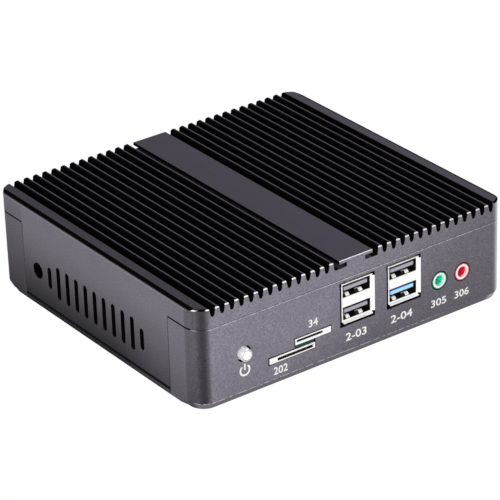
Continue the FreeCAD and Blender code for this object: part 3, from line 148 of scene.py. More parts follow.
room_fill = 0.30
world = bpy.data.worlds.new("white_room")
bpy.context.scene.world = world
tree = fresh_tree(world)
path = new_node(tree, "LightPath")
strength = new_node(tree, "MapRange", To_Min=room_fill, To_Max=1.0)
tree.links.new(path.outputs["Is Camera Ray"], strength.inputs["Value"])
room = new_node(tree, "Background", Color=(1, 1, 1, 1))
tree.links.new(strength.outputs["Result"], room.inputs["Strength"])
output = new_node(tree, "OutputWorld")
tree.links.new(room.outputs[0], output.inputs["Surface"])
print("room filled at", room_fill)

# %% [markdown]
# The floor is one wide sheet. The camera sees it glow in the same white as the room, so no
# horizon shows. For all other light it is matt paper. A floor without the glow would show
# grey, because the lamps don't light it evenly.

# %% Floor
floor_half = 3.0
mesh = bpy.data.meshes.new("floor")
corners = [(x * floor_half, y * floor_half, 0) for x, y in ((-1, -1), (1, -1), (1, 1), (-1, 1))]
mesh.from_pydata(corners, [], [(0, 1, 2, 3)])
linked("floor", mesh)
material = bpy.data.materials.new("white_paper")
tree = fresh_tree(material)
paper = new_node(tree, "BsdfDiffuse", Color=(0.8, 0.8, 0.8, 1))
glow = new_node(tree, "Emission", Strength=1.0)
path = new_node(tree, "LightPath")
choose = new_node(tree, "MixShader")
output = new_node(tree, "OutputMaterial")
tree.links.new(path.outputs["Is Camera Ray"], choose.inputs[0])
tree.links.new(paper.outputs[0], choose.inputs[1])
tree.links.new(glow.outputs[0], choose.inputs[2])
tree.links.new(choose.outputs[0], output.inputs["Surface"])
mesh.materials.append(material)
print("floor is", 2 * floor_half, "m wide")

# %% [markdown]
# The lamps are large rectangles, because a small lamp would draw hard shadows under every
# lip. The main one stands low beside the camera and faces the front and the left wall. A
# second, weaker one hangs overhead and lights the top. The line of light on each fin top is
# painted into the case's finish.

# %% Lamps
def soft_lamp(name, place, target, width, power):
    """A square lamp at a place in metres that faces a target."""
    data = bpy.data.lights.new(name, "AREA")
    data.shape = "SQUARE"
    data.size = width
    data.energy = power
    lamp = linked(name, data)
    lamp.location = place
    aim = Vector(target) - Vector(place)
    lamp.rotation_euler = aim.to_track_quat("-Z", "Y").to_euler()
    return lamp


middle = (0, 0, 0.02)
soft_lamp("front_lamp", (-0.62, -0.80, 0.30), middle, 0.6, 9.0)
soft_lamp("top_lamp", (0.1, 0.1, 0.9), middle, 0.6, 2.5)
bpy.context.scene.view_settings.view_transform = "Standard"
print("lamps:", len(bpy.data.lights))

# %% [markdown]
# ## Finishes
# A finish is a small network of nodes round one shader. To write one like a sum, we wrap
# a value that changes over the surface in a class. Adding or multiplying two of them lays
# the Math node that does it. Places are read in the piece's own space, so the pattern stays
# on the piece when it moves.

# %% Values that change over a surface
class Field:
    """A number that changes over the surface. Sums and products lay Math nodes."""

    def __init__(self, tree, socket):
        self.tree = tree
        self.socket = socket

    def made(self, operation, *others):
        node = new_node(self.tree, "Math")
        node.operation = operation
        for socket, value in zip(node.inputs, (self, *others)):
            feed(self.tree, socket, value)
        return Field(self.tree, node.outputs[0])

    def __add__(self, other):
        return self.made("ADD", other)

    def __sub__(self, other):
        return self.made("SUBTRACT", other)

    def __mul__(self, other):
        return self.made("MULTIPLY", other)

    def size(self):
        return self.made("ABSOLUTE")

    def root(self):
        return self.made("SQRT")

    def largest(self, other):
        return self.made("MAXIMUM", other)

    def rest(self):
        """What is left of one."""
        return self * -1 + 1

    def toward(self, other, amount):
        """A part of the way to another field."""
        return self + amount * (other - self)

    def rise(self, start, end):
        """A smooth step from 0 at start to 1 at end. It falls if end is the smaller."""
        node = new_node(self.tree, "MapRange", From_Min=min(start, end),
                        From_Max=max(start, end), To_Min=float(start > end),
                        To_Max=float(start < end))
        node.interpolation_type = "SMOOTHSTEP"
        feed(self.tree, node.inputs["Value"], self)
        return Field(self.tree, node.outputs["Result"])

    def between(self, low, high, edge):
        """1 between low and high and 0 outside, over a soft edge."""
        return self.rise(low - edge, low + edge) * self.rise(high + edge, high - edge)


print("fields can be added and multiplied")

# %% [markdown]
# A node's input takes a number, a colour or a link from another node. One helper finds out
# which of these it is given, so that the finishes needn't.

# %% Fill an input
def feed(tree, socket, value):
    """Put a number, a colour, a field or another node's output into a socket."""
    if isinstance(value, Field):
        tree.links.new(value.socket, socket)
    elif isinstance(value, bpy.types.NodeSocket):
        tree.links.new(value, socket)
    elif isinstance(value, tuple) and len(value) == 3 and socket.type == "RGBA":
        socket.default_value = (*value, 1.0)
    else:
        socket.default_value = value


print("inputs can be filled")

# %% [markdown]
# Each finish begins with the same three things: where we are on the piece in millimetres,
# which way the surface faces, and some noise. A finish then mixes colours by these and
# sends colour, roughness and relief to one Principled shader.

# %% A new finish
finishes = {}


class Finish:
    """A material under construction, kept in the table of finishes by its name."""

    def __init__(self, name, metallic=0.0, specular=0.5, coat=0.0):
        finishes[name] = bpy.data.materials.new(name)
        finishes[name].use_nodes = True
        self.tree = finishes[name].node_tree
        self.shader = self.tree.nodes["Principled BSDF"]
        self.shader.inputs["Metallic"].default_value = metallic
        self.shader.inputs["Specular IOR Level"].default_value = specular
        self.shader.inputs["Coat Weight"].default_value = coat
        coordinates = new_node(self.tree, "TexCoord")
        scaled = new_node(self.tree, "VectorMath")
        scaled.operation = "SCALE"
        scaled.inputs["Scale"].default_value = 1 / MM
        self.tree.links.new(coordinates.outputs["Object"], scaled.inputs[0])
        self.place = scaled.outputs[0]
        self.x, self.y, self.z = self.parts(self.place)
        self.nx, self.ny, self.nz = self.parts(coordinates.outputs["Normal"])

    def parts(self, vector):
        node = new_node(self.tree, "SeparateXYZ")
        self.tree.links.new(vector, node.inputs[0])
        return [Field(self.tree, output) for output in node.outputs]

    def noise(self, scale, detail=2.0, stretch=(1, 1, 1)):
        """Noise with a size in millimetres, if wanted longer along one axis."""
        node = new_node(self.tree, "TexNoise", Scale=1.0, Detail=detail)
        stretched = new_node(self.tree, "VectorMath")
        stretched.operation = "MULTIPLY"
        stretched.inputs[1].default_value = [1 / (scale * part) for part in stretch]
        self.tree.links.new(self.place, stretched.inputs[0])
        self.tree.links.new(stretched.outputs[0], node.inputs["Vector"])
        return Field(self.tree, node.outputs["Fac"])

    def mix(self, amount, first, second):
        """A colour between two, by a field."""
        node = new_node(self.tree, "Mix")
        node.data_type = "RGBA"
        feed(self.tree, node.inputs["Factor"], amount)
        feed(self.tree, node.inputs[6], first)
        feed(self.tree, node.inputs[7], second)
        return node.outputs[2]

    def steps(self, value, points):
        """A field that follows a drawn line through (value, result) points."""
        node = new_node(self.tree, "FloatCurve")
        line = node.mapping.curves[0]
        for index, point in enumerate(points):
            if index < 2:
                line.points[index].location = point
            else:
                line.points.new(*point)
        for point in line.points:
            point.handle_type = "VECTOR"
        node.mapping.update()
        feed(self.tree, node.inputs["Value"], value)
        return Field(self.tree, node.outputs[0])

    def behind_face(self):
        """How far we are behind the nearer end face of the case."""
        return (self.y - middle_y).size() * -1 + half_depth

    def wear(self, colour, roughness, relief, depth):
        """Send colour, roughness and a relief of this depth in millimetres to the shader."""
        bump = new_node(self.tree, "Bump", Distance=depth * MM)
        feed(self.tree, bump.inputs["Height"], relief)
        feed(self.tree, self.shader.inputs["Base Color"], colour)
        feed(self.tree, self.shader.inputs["Roughness"], roughness)
        feed(self.tree, self.shader.inputs["Normal"], bump.outputs["Normal"])


print("finishes can be made")

# %% [markdown]
# Two more helpers serve all finishes: how far away a place is, and a colour made darker or
# lighter. We choose one colour for each material and shade it, because two colours chosen
# apart would soon drift from one another.

# %% Distance and shade
def span(first, second):
    """How far away a place is that lies so far one way and so far the other."""
    return (first * first + second * second).root()


def shade(colour, factor):
    """A colour made darker or lighter, never above white."""
    return tuple(min(1.0, part * factor) for part in colour)


print("half of a middle grey:", shade((0.5, 0.5, 0.5), 0.5))

# %% [markdown]
# ### Blasted and anodised aluminium
# The case is an extrusion that was blasted with fine beads and then anodised dark. We lay
# its finish in layers: the speckle that the beads leave, the painted shade on each wall, the
# flat top painted darker as shade, the painted black of grooves and insides, and last the
# edges with their wear and painted highlights. An image could be wrapped round the case
# instead, but nodes know the place and the direction of every point, so the finish stays
# sharp from near. The layers share these colours and places.

# %% Colours and places of the case
case = Finish("case_aluminium", specular=0.04)
# The walls keep their own tone. The top's tone is darker as painted shade, the cut tone holds
# bare metal and painted highlights, the worn tone holds wear and painted light, and the black
# is painted shade.
wall_tone = (0.214, 0.200, 0.238)
shaded_top_tone = (0.062, 0.056, 0.073)
bare_and_highlight_tone = (0.86, 0.86, 0.90)
worn_and_lit_tone = (0.62, 0.60, 0.64)
black = (0.0006, 0.0006, 0.0008)
corner_radius = 7.0
wrap_width = 16.6
wrap_edge = half_depth - wrap_width
along_depth = case.y - middle_y
from_middle = along_depth.size()
turned = case.ny.size()
print("the side walls end", round(wrap_edge, 2), "mm from the middle of the depth")

# %% [markdown]
# A wall of one colour would look painted. Two noises prevent that: a fine one for the marks
# of the beads and a wide, faint one for the uneven coating.

# %% Speckle
speckle = case.noise(0.45, 3.0)
clouds = case.noise(9.0, 2.0)
wall = case.mix(speckle.rise(0.3, 0.7), shade(wall_tone, 0.72), shade(wall_tone, 1.26))
wall = case.mix(clouds.rise(0.35, 0.7) * 0.3, wall, shade(wall_tone, 0.84))
print("speckle of 0.45 mm over clouds of 9 mm")

# %% [markdown]
# All of this is painted shade. The front darkens slowly toward its foot and toward the sound
# sockets. The side walls darken much more toward the foot. The tray wraps round onto the
# sides with both its ends, and there the shade is a different one, so a sharp step shows at
# the upright joint. A soft lamp gives a flat wall one even tone, so the shade is painted
# into the wall's colour. Each is a share of the wall's tone, and the rest is black.

# %% Shade on the walls
along_front = case.x * (1 / 60) + case.z * (-1 / 34) + 0.5
front_fade = (along_front.rise(-0.5, 0.7) * -0.33 + 1.0) * (case.z.rise(0, 24) * 0.12 + 0.88)
side_fade = case.z.rise(0, 34) * 0.78 + 0.10
side_fade = side_fade + case.y.rise(-12, -44) * case.z.rise(26, 8) * 0.165
front_wrap = case.z.rise(0, 30) * 0.30 + 0.55
rear_wrap = case.z * 0.0165 + 0.18
wrap_fade = front_wrap.toward(rear_wrap, case.y.rise(-10, 10))
on_wrap = from_middle.rise(wrap_edge - 0.4, wrap_edge + 0.1)
side_fade = side_fade.toward(wrap_fade, on_wrap)
# Painted shade on the walls.
painted_wall_shade = side_fade.toward(front_fade, turned.rise(0.5, 1.0))
print("walls darken toward the foot")

# %% [markdown]
# Round a corner the painted shade follows the way the surface faces, which runs from 0 on
# the side to 1 on the front. One drawn line gives it for the corner by the power button,
# another for the far one, which also gets a little painted light. The rear corners are just
# painted lighter. A float curve holds such a line by a few points, where sums would need a
# node for each bend.

# %% Shade round the corners
# Painted shade round the corners, and painted light on the far and the rear corners.
corner = case.steps(turned, [(0.0, 1.0), (0.02, 0.80), (0.16, 0.62), (0.59, 0.52),
                             (0.71, 0.30), (0.81, 0.18), (0.89, 0.20), (0.95, 0.42),
                             (0.988, 0.95), (1.0, 1.0)])
far_corner_painted_light = case.steps(turned, [(0.0, 1.0), (0.5, 1.0), (0.72, 1.0), (0.86, 0.72),
                                 (0.95, 0.62), (1.0, 0.5)]) * 2.0
far_side = case.x.rise(58, 61) * turned.rise(0.05, 0.3)
corner = corner.toward(far_corner_painted_light, far_side)
rear_corner = along_depth.rise(half_depth - 8, half_depth - 7)
corner = corner.toward(turned * 0.5 + 1.0, rear_corner)
# Painted highlight on the far front corner.
far_corner_highlight = far_side * case.y.rise(10, -10) * turned.rise(0.99, 0.82) * 0.9
wall = case.mix(far_corner_highlight, wall, bare_and_highlight_tone)
wall = case.mix(painted_wall_shade * corner, black, wall)
print("corners of radius", corner_radius, "are shaded")

# %% [markdown]
# The flat top is painted darker than the walls, as shade. Fine lines run along it, from when
# it was drawn through the die. They are a noise that is stretched thirty times along the
# depth. The top also grows a little lighter toward the far side.

# %% Flat top
upward = case.nz.rise(0.985, 0.995)
drawn = case.noise(0.5, 2.0, stretch=(1, 30, 1))
# The top's tone is painted shade. The drawn lines are its own.
near_tone = case.mix(drawn, shade(shaded_top_tone, 0.88), shade(shaded_top_tone, 1.12))
far_tone = case.mix(drawn, shade(shaded_top_tone, 1.30), shade(shaded_top_tone, 1.62))
top = case.mix(case.x.rise(-67, 40), near_tone, far_tone)
print("drawn lines run along the depth")

# %% [markdown]
# The fins are 4 mm apart. Each one gets a painted line of light along one side of its flat
# top and painted shade, fading to black, on the other, so we need to know where we are across
# a fin. Counting in fins from the outermost groove gives a number whose fraction is 0 in a
# groove and a half on the middle of a fin.

# %% Light lines on the fins
strip_width = 6.9
band_half_width = 7.2
fin_pitch = 4.0
first_fin_x = 9.9
outer_groove_x = half_width - strip_width
side_sign = case.x.made("SIGN")
across_fin = ((case.x - side_sign * outer_groove_x) * (1 / fin_pitch)).made("FRACT")
light_side = case.steps(across_fin, [(0.0, 0.0), (0.30, 0.0), (0.44, 0.04), (0.49, 0.14),
                                     (0.55, 1.0), (1.0, 1.0)])
on_fins = case.x.size().between(first_fin_x, outer_groove_x, 0.05)
# Painted highlight on one side of each fin top and painted shade on the other.
line = case.mix(0.8, top, shade(shaded_top_tone, 2.4))
top = case.mix(on_fins, top, case.mix(light_side, black, line))
surface = case.mix(upward, wall, top)
print("grooves on each side:", round((outer_groove_x - first_fin_x) / fin_pitch))

# %% [markdown]
# The grooves, the slots beside the band and the long bevels read as black, because no
# light comes back out of them. Here the even light of the room still reaches in, so the
# finish darkens them. Above the seam that is all that doesn't face up, except the ends and
# the outer walls.

# %% Grooves and bevels stay black
above_seam = case.z.rise(seam + 0.4, seam + 0.5)
within = case.x.size().rise(half_width - 0.9, half_width - 1.1)
sideways = turned.rise(0.6, 0.4)
below_top = case.z.rise(fin_top - 0.42, fin_top - 0.5)
on_band = case.x.size().rise(band_half_width + 0.05, band_half_width) * upward
groove = above_seam * within * sideways * below_top.largest(upward.rest()) * on_band.rest()
on_strip = case.x.size().rise(outer_groove_x + 1.3, outer_groove_x + 1.4)
bevel_low = fin_top - 0.9
bevels = (case.nz.between(0.3, 0.98, 0.01) * sideways.largest(on_strip) * above_seam
          * case.z.rise(bevel_low + 0.02, bevel_low + 0.32))
print("long bevels from z", round(bevel_low, 2))

# %% [markdown]
# Everything inside is painted black too, as shade, and so are the walls of the vents. To find
# what lies inside, we measure how far a point is from the outline of the case, and allow for
# the bevel round the foot, which slopes inward. The walls of a hole face another way than the
# wall that it is cut in.

# %% The inside stays black
across = (case.x.size() - (half_width - corner_radius)).largest(0)
along = (from_middle - (half_depth - corner_radius)).largest(0)
foot_bevel_top = underside + 2.3
slope = (case.z * -0.5 + foot_bevel_top / 2).largest(0)
from_corner = span(across, along) + slope
inside = (from_corner.rise(corner_radius - 0.12, corner_radius - 0.25)
          * case.z.between(underside + 0.1, seam + 0.35, 0.05))
between_joints = case.z.between(foot_bevel_top + 0.4, seam - 0.1, 0.05)
side_holes = case.nx.size().rise(0.9, 0.6) * from_middle.rise(wrap_edge - 0.35,
                                                              wrap_edge - 0.95)
end_holes = turned.rise(0.9, 0.6) * case.x.size().rise(58, 56)
inside = inside.largest(between_joints * side_holes.largest(end_holes * side_holes.rest()
                                                            * from_middle.rise(58, 60)))
dark = groove.largest(bevels).largest(inside)
print("the bevel round the foot ends at z", round(foot_bevel_top, 2))

# %% [markdown]
# A thin gap of shadow runs round each socket and card holder on the front, a little wider
# at their corners. How far we are from a rectangle is the larger of two lengths, the one
# beside it and the one over it, and a gap is all that lies nearer than its width.

# %% Gaps round the sockets
on_front = case.y.rise(front_y + 0.1, front_y + 0.02)
for name, gap, corner_gap in (("usb_shell_1", 0.26, 0.36), ("usb_shell_2", 0.26, 0.36),
                              ("sim_holder", 0.40, 0.50), ("tf_holder", 0.32, 0.40)):
    x, z = middle_mm(name)
    high = box_mm(name)[1]
    beside = (case.x - x).size() - (high.x - x)
    over = (case.z - z).size() - (high.z - z)
    near_corner = (beside + over).rise(-2.4, -1.6)
    shadow = beside.largest(over) - near_corner * (corner_gap - gap)
    dark = dark.largest(shadow.rise(gap + 0.05, gap - 0.05) * on_front)
for name in ("sound_collar_out", "sound_collar_mic"):
    x, z = middle_mm(name)
    ring = span(case.x - x - 0.05, case.z - z + 0.05)
    dark = dark.largest(ring.rise(3.72, 3.60) * on_front)
# Grooves, bevels, insides and the gaps round the openings are painted black, as shade.
surface = case.mix(dark, surface, black)
print("gaps round four square and two round openings")

# %% [markdown]
# The ends of the fins, the band and the corners were cut last, so their broken edges are bare
# and lighter, and on top of that a highlight is painted on them, strongest where the light
# falls. Only such an edge faces partly up and partly to the front or the back, so its
# direction finds it. On the near corner the painted highlight shows in two spots: where the
# rim begins to turn, and beside the groove.

# %% Cut edges
near_top = case.z.rise(fin_top - 0.30, fin_top - 0.18)
off_band = case.x.size().rise(9, 10)
rim = along.between(1.2, 4.4, 0.8).largest(across.rise(2.7, 2.1))
# Bare cut edges with a painted highlight.
cut = (turned.between(0.14, 0.95, 0.02) * case.nz.rise(0.25, 0.35) * above_seam
       * (off_band * near_top).rest() * (on_strip * rim.rest()).rest()
       * (on_strip * case.x.rise(-1, 1)).rest())
# The painted highlight is brightest on the near side.
shine = case.mix(case.x.rise(-10, 50), bare_and_highlight_tone, shade(bare_and_highlight_tone, 0.8))
surface = case.mix(cut, surface, shine)
print("cut edges shine")

# %% [markdown]
# Handling wears the coating off two more edges: the top of the tray along the seam, and the
# start of the bevel round its foot. There the light line is broken, which noise does. The
# line is partly a painted highlight too: it follows the highlight spots of the corner and
# fades toward the far side.

# %% Worn edges
chips = case.noise(0.8, 2.0)
outer = from_corner.rise(corner_radius - 0.3, corner_radius - 0.2)
off_sides = turned.rise(0.3, 0.6)
# Wear with a painted highlight along the seam and the foot.
seam_wear_and_highlight = (case.z.between(seam - 0.35, seam, 0.03) * outer * off_sides
             * (chips.rise(0.38, 0.56) * 0.5 + 0.15) * (case.x.rise(66, 40) * 0.5 + 0.5)
             * rim)
foot_wear_and_light = (case.z.between(foot_bevel_top - 0.15, foot_bevel_top + 0.25, 0.05) * outer
             * off_sides * chips.rise(0.40, 0.55) * 0.55 * case.x.rise(50, 20))
surface = case.mix(seam_wear_and_highlight.largest(foot_wear_and_light), surface, worn_and_lit_tone)
print("worn along the seam at z", round(seam, 2))

# %% [markdown]
# The joints round the side walls gather a line of shadow: one along the foot, one upright
# at each end, and one that lies along the seam from there to the corner. Real grooves would
# need many faces for so thin a line, and a range of places needs none.

# %% Joints of the side walls
on_sides = turned.rise(0.3, 0.1)
on_side_wall = from_middle.rise(wrap_edge + 0.2, wrap_edge - 0.2)
joint = (case.z.between(underside + 2.1, underside + 3.2, 0.04) * outer
         * on_sides * on_side_wall)
upright = (from_middle.between(wrap_edge - 0.36, wrap_edge + 0.06, 0.03) * outer
           * on_sides * case.z.between(foot_bevel_top, seam, 0.05))
lying = (case.z.between(seam - 0.30, seam + 0.35, 0.03) * turned.rise(0.45, 0.35)
         * on_side_wall.rest() * outer)
joint = joint.largest(upright).largest(lying)
surface = case.mix(joint, surface, black)
print("joints follow the side walls")

# %% [markdown]
# Two edges get painted light, so they stay lighter than the wall: the bevel round the foot,
# which leans out over the floor, and the line under each long bevel. Then the surface goes to
# the shader. What is black is also rougher and has no relief.

# %% Lit edges and the last step of the case
# Painted light on the foot bevel and under the long bevels.
foot_bevel_painted_light = (case.nz.between(-0.6, -0.3, 0.05) * off_sides
           * case.z.rise(foot_bevel_top + 0.5, foot_bevel_top + 0.2))
surface = case.mix(foot_bevel_painted_light * 0.42, surface, shade(wall_tone, 1.5))
lit_edge = (case.z.between(bevel_low - 0.22, bevel_low + 0.04, 0.05) * on_sides
            * within.rest())
surface = case.mix(lit_edge * 0.6, surface, shade(wall_tone, 1.35))
case.wear(surface, speckle * 0.12 + 0.42 + dark * 0.4, speckle * dark.rest(), 0.012)
print("nodes in the case's finish:", len(case.tree.nodes))

# %% [markdown]
# ### Plain finishes
# Most other finishes differ only in numbers: how dark, how rough, how coarse the grain. One
# function makes them. It mixes a darker and a lighter tone by noise, varies the roughness
# by the same noise and presses the grain in. A socket is dark inside, because its depth
# hides it from the light. For such finishes a second colour, a painted shade, takes over from
# a given depth behind the case's end faces.

# %% Grained finishes
def grained(name, colour, roughness, metallic=0.0, grain=0.4, contrast=0.10, depth=0.01,
            stretch=(1, 1, 1), coat=0.0, hidden=None, from_depth=0.5):
    """A finish of one colour with fine mottling and relief, with painted shade below a depth if
    wanted.
    """
    finish = Finish(name, metallic, coat=coat)
    noise = finish.noise(grain, 3.0, stretch)
    tone = finish.mix(noise.rise(0.3, 0.7), shade(colour, 1 - contrast),
                      shade(colour, 1 + contrast))
    if hidden:
        behind = finish.behind_face().rise(from_depth, from_depth + 0.25)
        tone = finish.mix(behind, tone, hidden)
    finish.wear(tone, noise * 0.12 + (roughness - 0.06), noise, depth)


# Painted shade deep inside the sockets and in the mouths of the card holders.
painted_shade_brown = (0.010, 0.007, 0.006)
grained("bare_aluminium", (0.62, 0.62, 0.64), 0.35, 0.5, 0.3, stretch=(8, 1, 1))
grained("bright_steel", (0.93, 0.92, 0.92), 0.30, 0.2, 0.8, 0.05, 0.004, stretch=(1, 1, 6))
grained("socket_steel", (1.0, 0.99, 0.98), 0.30, 0.1, 0.8, 0.02, 0.003,
        hidden=painted_shade_brown, from_depth=0.55)
grained("screw_steel", (0.30, 0.30, 0.31), 0.35, 0.5, 0.2)
grained("brass", (0.72, 0.52, 0.22), 0.3, 0.6, 0.3)
grained("gold_pin", (0.95, 0.70, 0.28), 0.22, 0.5, 0.2, 0.06, 0.003)
grained("rubber", (0.012, 0.012, 0.012), 0.75, 0.0, 0.5, 0.3, 0.03)
grained("black_plastic", (0.016, 0.016, 0.018), 0.45, 0.0, 0.25, 0.2)
grained("grey_plastic", (0.075, 0.073, 0.085), 0.42, 0.0, 0.25, 0.12)
grained("blue_plastic", (0.020, 0.085, 0.42), 0.38, 0.0, 0.3, 0.08)
grained("white_plastic", (0.88, 0.88, 0.87), 0.4, 0.0, 0.4, 0.03)
grained("lens", (0.93, 0.93, 0.93), 0.2, 0.0, 0.5, 0.03, 0.003, coat=0.5)
grained("soft_pad", (0.32, 0.34, 0.38), 0.8, 0.0, 0.4, 0.08, 0.02)
grained("white_print", (0.86, 0.86, 0.84), 0.6, 0.0, 0.25, 0.06, 0.004)
grained("spring_steel", (0.95, 0.94, 0.92), 0.25, 0.1, 0.4, 0.05, 0.003)
grained("socket_gold", (0.55, 0.36, 0.16), 0.3, 0.2, 0.3, 0.15, 0.003)
grained("light_window", (0.55, 0.62, 0.42), 0.25, 0.0, 0.5, 0.06, 0.003)
print("finishes so far:", len(finishes))

# %% [markdown]
# ### Finishes that know their place
# Some finishes need more than a tone. The tongues in the stacked sockets lie in the shadow
# of the shell along their top and at one end. Each shadow is a range in height, width or
# depth, and we keep the darkest of them.

# %% Tongues of the stacked sockets
def tongue_finish(name, colour, hidden):
    """A moulded tongue, dark where the shell shades it."""
    finish = Finish(name, specular=0.4)
    grain = finish.noise(0.3, 2.0)
    tone = finish.mix(grain, shade(colour, 0.9), shade(colour, 1.1))
    shadow = finish.behind_face().rise(1.42, 1.67)
    for place in ("1_lower", "1_upper"):
        low, high = box_mm("usb_insert_" + place)
        shadow = shadow.largest(finish.z.between(low.z + 3.5, high.z, 0.08))
    for place in ("1_lower", "2_lower"):
        low = box_mm("usb_insert_" + place)[0]
        shadow = shadow.largest(finish.x.between(low.x - 0.5, low.x + 1.15, 0.08))
    finish.wear(finish.mix(shadow, tone, hidden), grain * 0.1 + 0.36, grain, 0.01)


tongue_finish("tongue_grey", (0.36, 0.35, 0.41), (0.012, 0.011, 0.013))
tongue_finish("tongue_blue", (0.40, 0.74, 1.0), (0.010, 0.06, 0.30))
print("tongue finishes made")

# %% [markdown]
# The card holders are folded from bright steel, and their mouths are painted dark, as shade.
# The lower one has its mouth near its floor, the upper one near its lid. A range across
# times a range upward makes a rectangle, so each mouth takes two.

# %% Card holders
holder = Finish("card_steel", specular=0.5)
grain = holder.noise(0.8, 2.0)
bright = holder.mix(grain, (0.88, 0.87, 0.90), (0.98, 0.97, 1.0))
# Painted shade in the mouths of the card holders.
mouths = holder.behind_face().rise(-0.05, 0.2)
low, high = box_mm("sim_holder")
mouths = mouths.largest(holder.x.between(low.x + 3.3, high.x - 0.85, 0.05)
                        * holder.z.between(low.z + 0.42, low.z + 1.6, 0.05))
low, high = box_mm("tf_holder")
mouths = mouths.largest(holder.x.between(low.x + 0.45, high.x - 3.5, 0.05)
                        * holder.z.between(low.z + 0.95, high.z - 0.35, 0.05))
holder.wear(holder.mix(mouths, bright, painted_shade_brown), grain * 0.1 + 0.28, grain, 0.003)
print("card holder finish made")

# %% [markdown]
# The sound sockets are bright in the bore. The rim is painted in a darker copy of that colour,
# as shade, and the key gets a darker mark of painted shade. They are round, so the distance
# from the middle tells rim from bore.

# %% Sound sockets
def sound_finish(name, collar, rim, bore):
    """A moulded socket, by the distance from the middle of its collar."""
    finish = Finish(name, specular=0.5)
    grain = finish.noise(0.3, 2.0)
    x, z = middle_mm(collar)
    across = finish.x - x
    upward = finish.z - z
    radius = span(across, upward)
    # The rim is a painted shade of the bore's colour, and the key below gets painted shade.
    tone = finish.mix(radius.rise(2.6, 2.9), finish.mix(grain, shade(bore, 0.85), bore), rim)
    key = (upward + across * 0.5).between(-0.95, -0.55, 0.15) * radius.rise(2.2, 2.0)
    tone = finish.mix(key * 0.6, tone, shade(rim, 0.6))
    finish.wear(tone, grain * 0.1 + 0.28, grain, 0.008)


sound_finish("green_plastic", "sound_collar_out", (0.005, 0.16, 0.085), (0.04, 0.85, 0.55))
sound_finish("pink_plastic", "sound_collar_mic", (0.55, 0.015, 0.035), (1.0, 0.02, 0.05))
print("sound socket finishes made")

# %% [markdown]
# The button's cap is bright, with a grey ring where the lens is let in and painted shade on
# its rounded edge. The distance from the middle finds both, as in the sound sockets, and the
# direction keeps the ring on the flat front.

# %% Button cap
cap = Finish("button_metal", metallic=0.1, specular=0.5)
grain = cap.noise(0.3, 2.0)
button_low = box_mm("button_cap")[0]
button_x, button_z = middle_mm("button_cap")
radius = span(cap.x - button_x, cap.z - button_z)
ring = radius.between(1.62, 1.95, 0.06) * cap.ny.size().rise(0.8, 0.95)
# Painted shade on the cap's rounded edge.
edge = cap.ny.size().between(0.5, 0.9, 0.05) * radius.rise(1.9, 2.0)
bright = cap.mix(grain, (0.90, 0.90, 0.92), (0.98, 0.98, 1.0))
cap.wear(cap.mix(ring.largest(edge * 0.5), bright, (0.26, 0.26, 0.28)), grain * 0.1 + 0.25,
         grain, 0.004)
print("button at x", round(button_x, 2))

# %% [markdown]
# ### The circuit board
# A board is woven glass under green lacquer, with copper tracks that show through a little
# lighter. A brick pattern stands for the tracks. On the cut edge the pale glass shows. Next
# to the side walls little light reaches it, so a painted shade darkens it there.

# %% Board finish
board = Finish("board", specular=0.5, coat=0.3)
tracks = new_node(board.tree, "TexBrick", Scale=0.35, Mortar_Size=0.08,
                  Color1=(0.006, 0.085, 0.040, 1), Color2=(0.007, 0.095, 0.046, 1),
                  Mortar=(0.02, 0.16, 0.07, 1))
board.tree.links.new(board.place, tracks.inputs["Vector"])
weave = board.noise(0.3, 2.0)
edge = board.nz.size().rise(0.5, 0.3)
lacquer = board.mix(weave * 0.3, tracks.outputs["Color"], (0.004, 0.06, 0.03))
board_tone = board.mix(edge, lacquer, (0.020, 0.13, 0.075))
# Painted shade next to the side walls.
near_wall = board.x.size().rise(54, 60) * 0.95
board_tone = board.mix(near_wall, board_tone, (0.001, 0.002, 0.0015))
board.wear(board_tone, weave * 0.1 + 0.28, weave, 0.01)
grained("board_edge", (0.016, 0.050, 0.042), 0.45, 0.0, 0.5, 0.25)
print("board finish made")

# %% [markdown]
# Every solid piece has a slot in the model's record that names its finish. We go through
# them all, so that no piece is left in plain grey. The shells of the sockets, the card
# holders and the tongues wear finishes with painted shade inside, which no slot names.

# %% Dress the solid pieces
slot_of = {part["node"]: part["material_slot"] for part in frame["record"]["subparts"]}
shade_painted_inside = {"sim_holder": "card_steel", "tf_holder": "card_steel"}
for name in ("usb_shell_1", "usb_shell_2", "hdmi_shell", "lan_shell_1", "lan_shell_2"):
    shade_painted_inside[name] = "socket_steel"
for name in ("usb_insert_1_lower", "usb_insert_1_upper", "usb_insert_2_upper"):
    shade_painted_inside[name] = "tongue_grey"
shade_painted_inside["usb_insert_2_lower"] = "tongue_blue"
for name, piece in nodes.items():
    piece.data.materials.clear()
    piece.data.materials.append(finishes[shade_painted_inside.get(name, slot_of[name])])
print("finishes:", len(finishes), "pieces dressed:", len(nodes))

# %% [markdown]
# ## Small pieces
# What the solids leave out is made here: springs, contacts, printed marks, recesses. We
# draw in millimetres in an empty mesh and turn the drawing into an object at the end.
# Blender's ready-made cubes and cylinders would each have to be moved and scaled, while a
# drawing puts every point where it belongs. The object then rides on the housing and takes
# one finish. The record knows a finish by its slot's name, so finishes that exist only here
# use the nearest slot.


def drawn_object(name, work):
    """Turn a drawing in millimetres into an object in metres."""
    bmesh.ops.recalc_face_normals(work, faces=work.faces)
    mesh = bpy.data.meshes.new(name)
    work.to_mesh(mesh)
    work.free()
    mesh.transform(Matrix.Scale(MM, 4))
    return linked(name, mesh)


def finished(name, work, finish, bevel=0.0):
    """Turn a drawing into a piece with a finish that rides on the housing."""
    piece = drawn_object(name, work)
    piece.data.materials.append(finishes[finish])
    if bevel:
        rounding = piece.modifiers.new("rounding", "BEVEL")
        rounding.width = bevel * MM
        rounding.segments = 2
        rounding.limit_method = "ANGLE"
    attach(piece, "housing")
    return piece


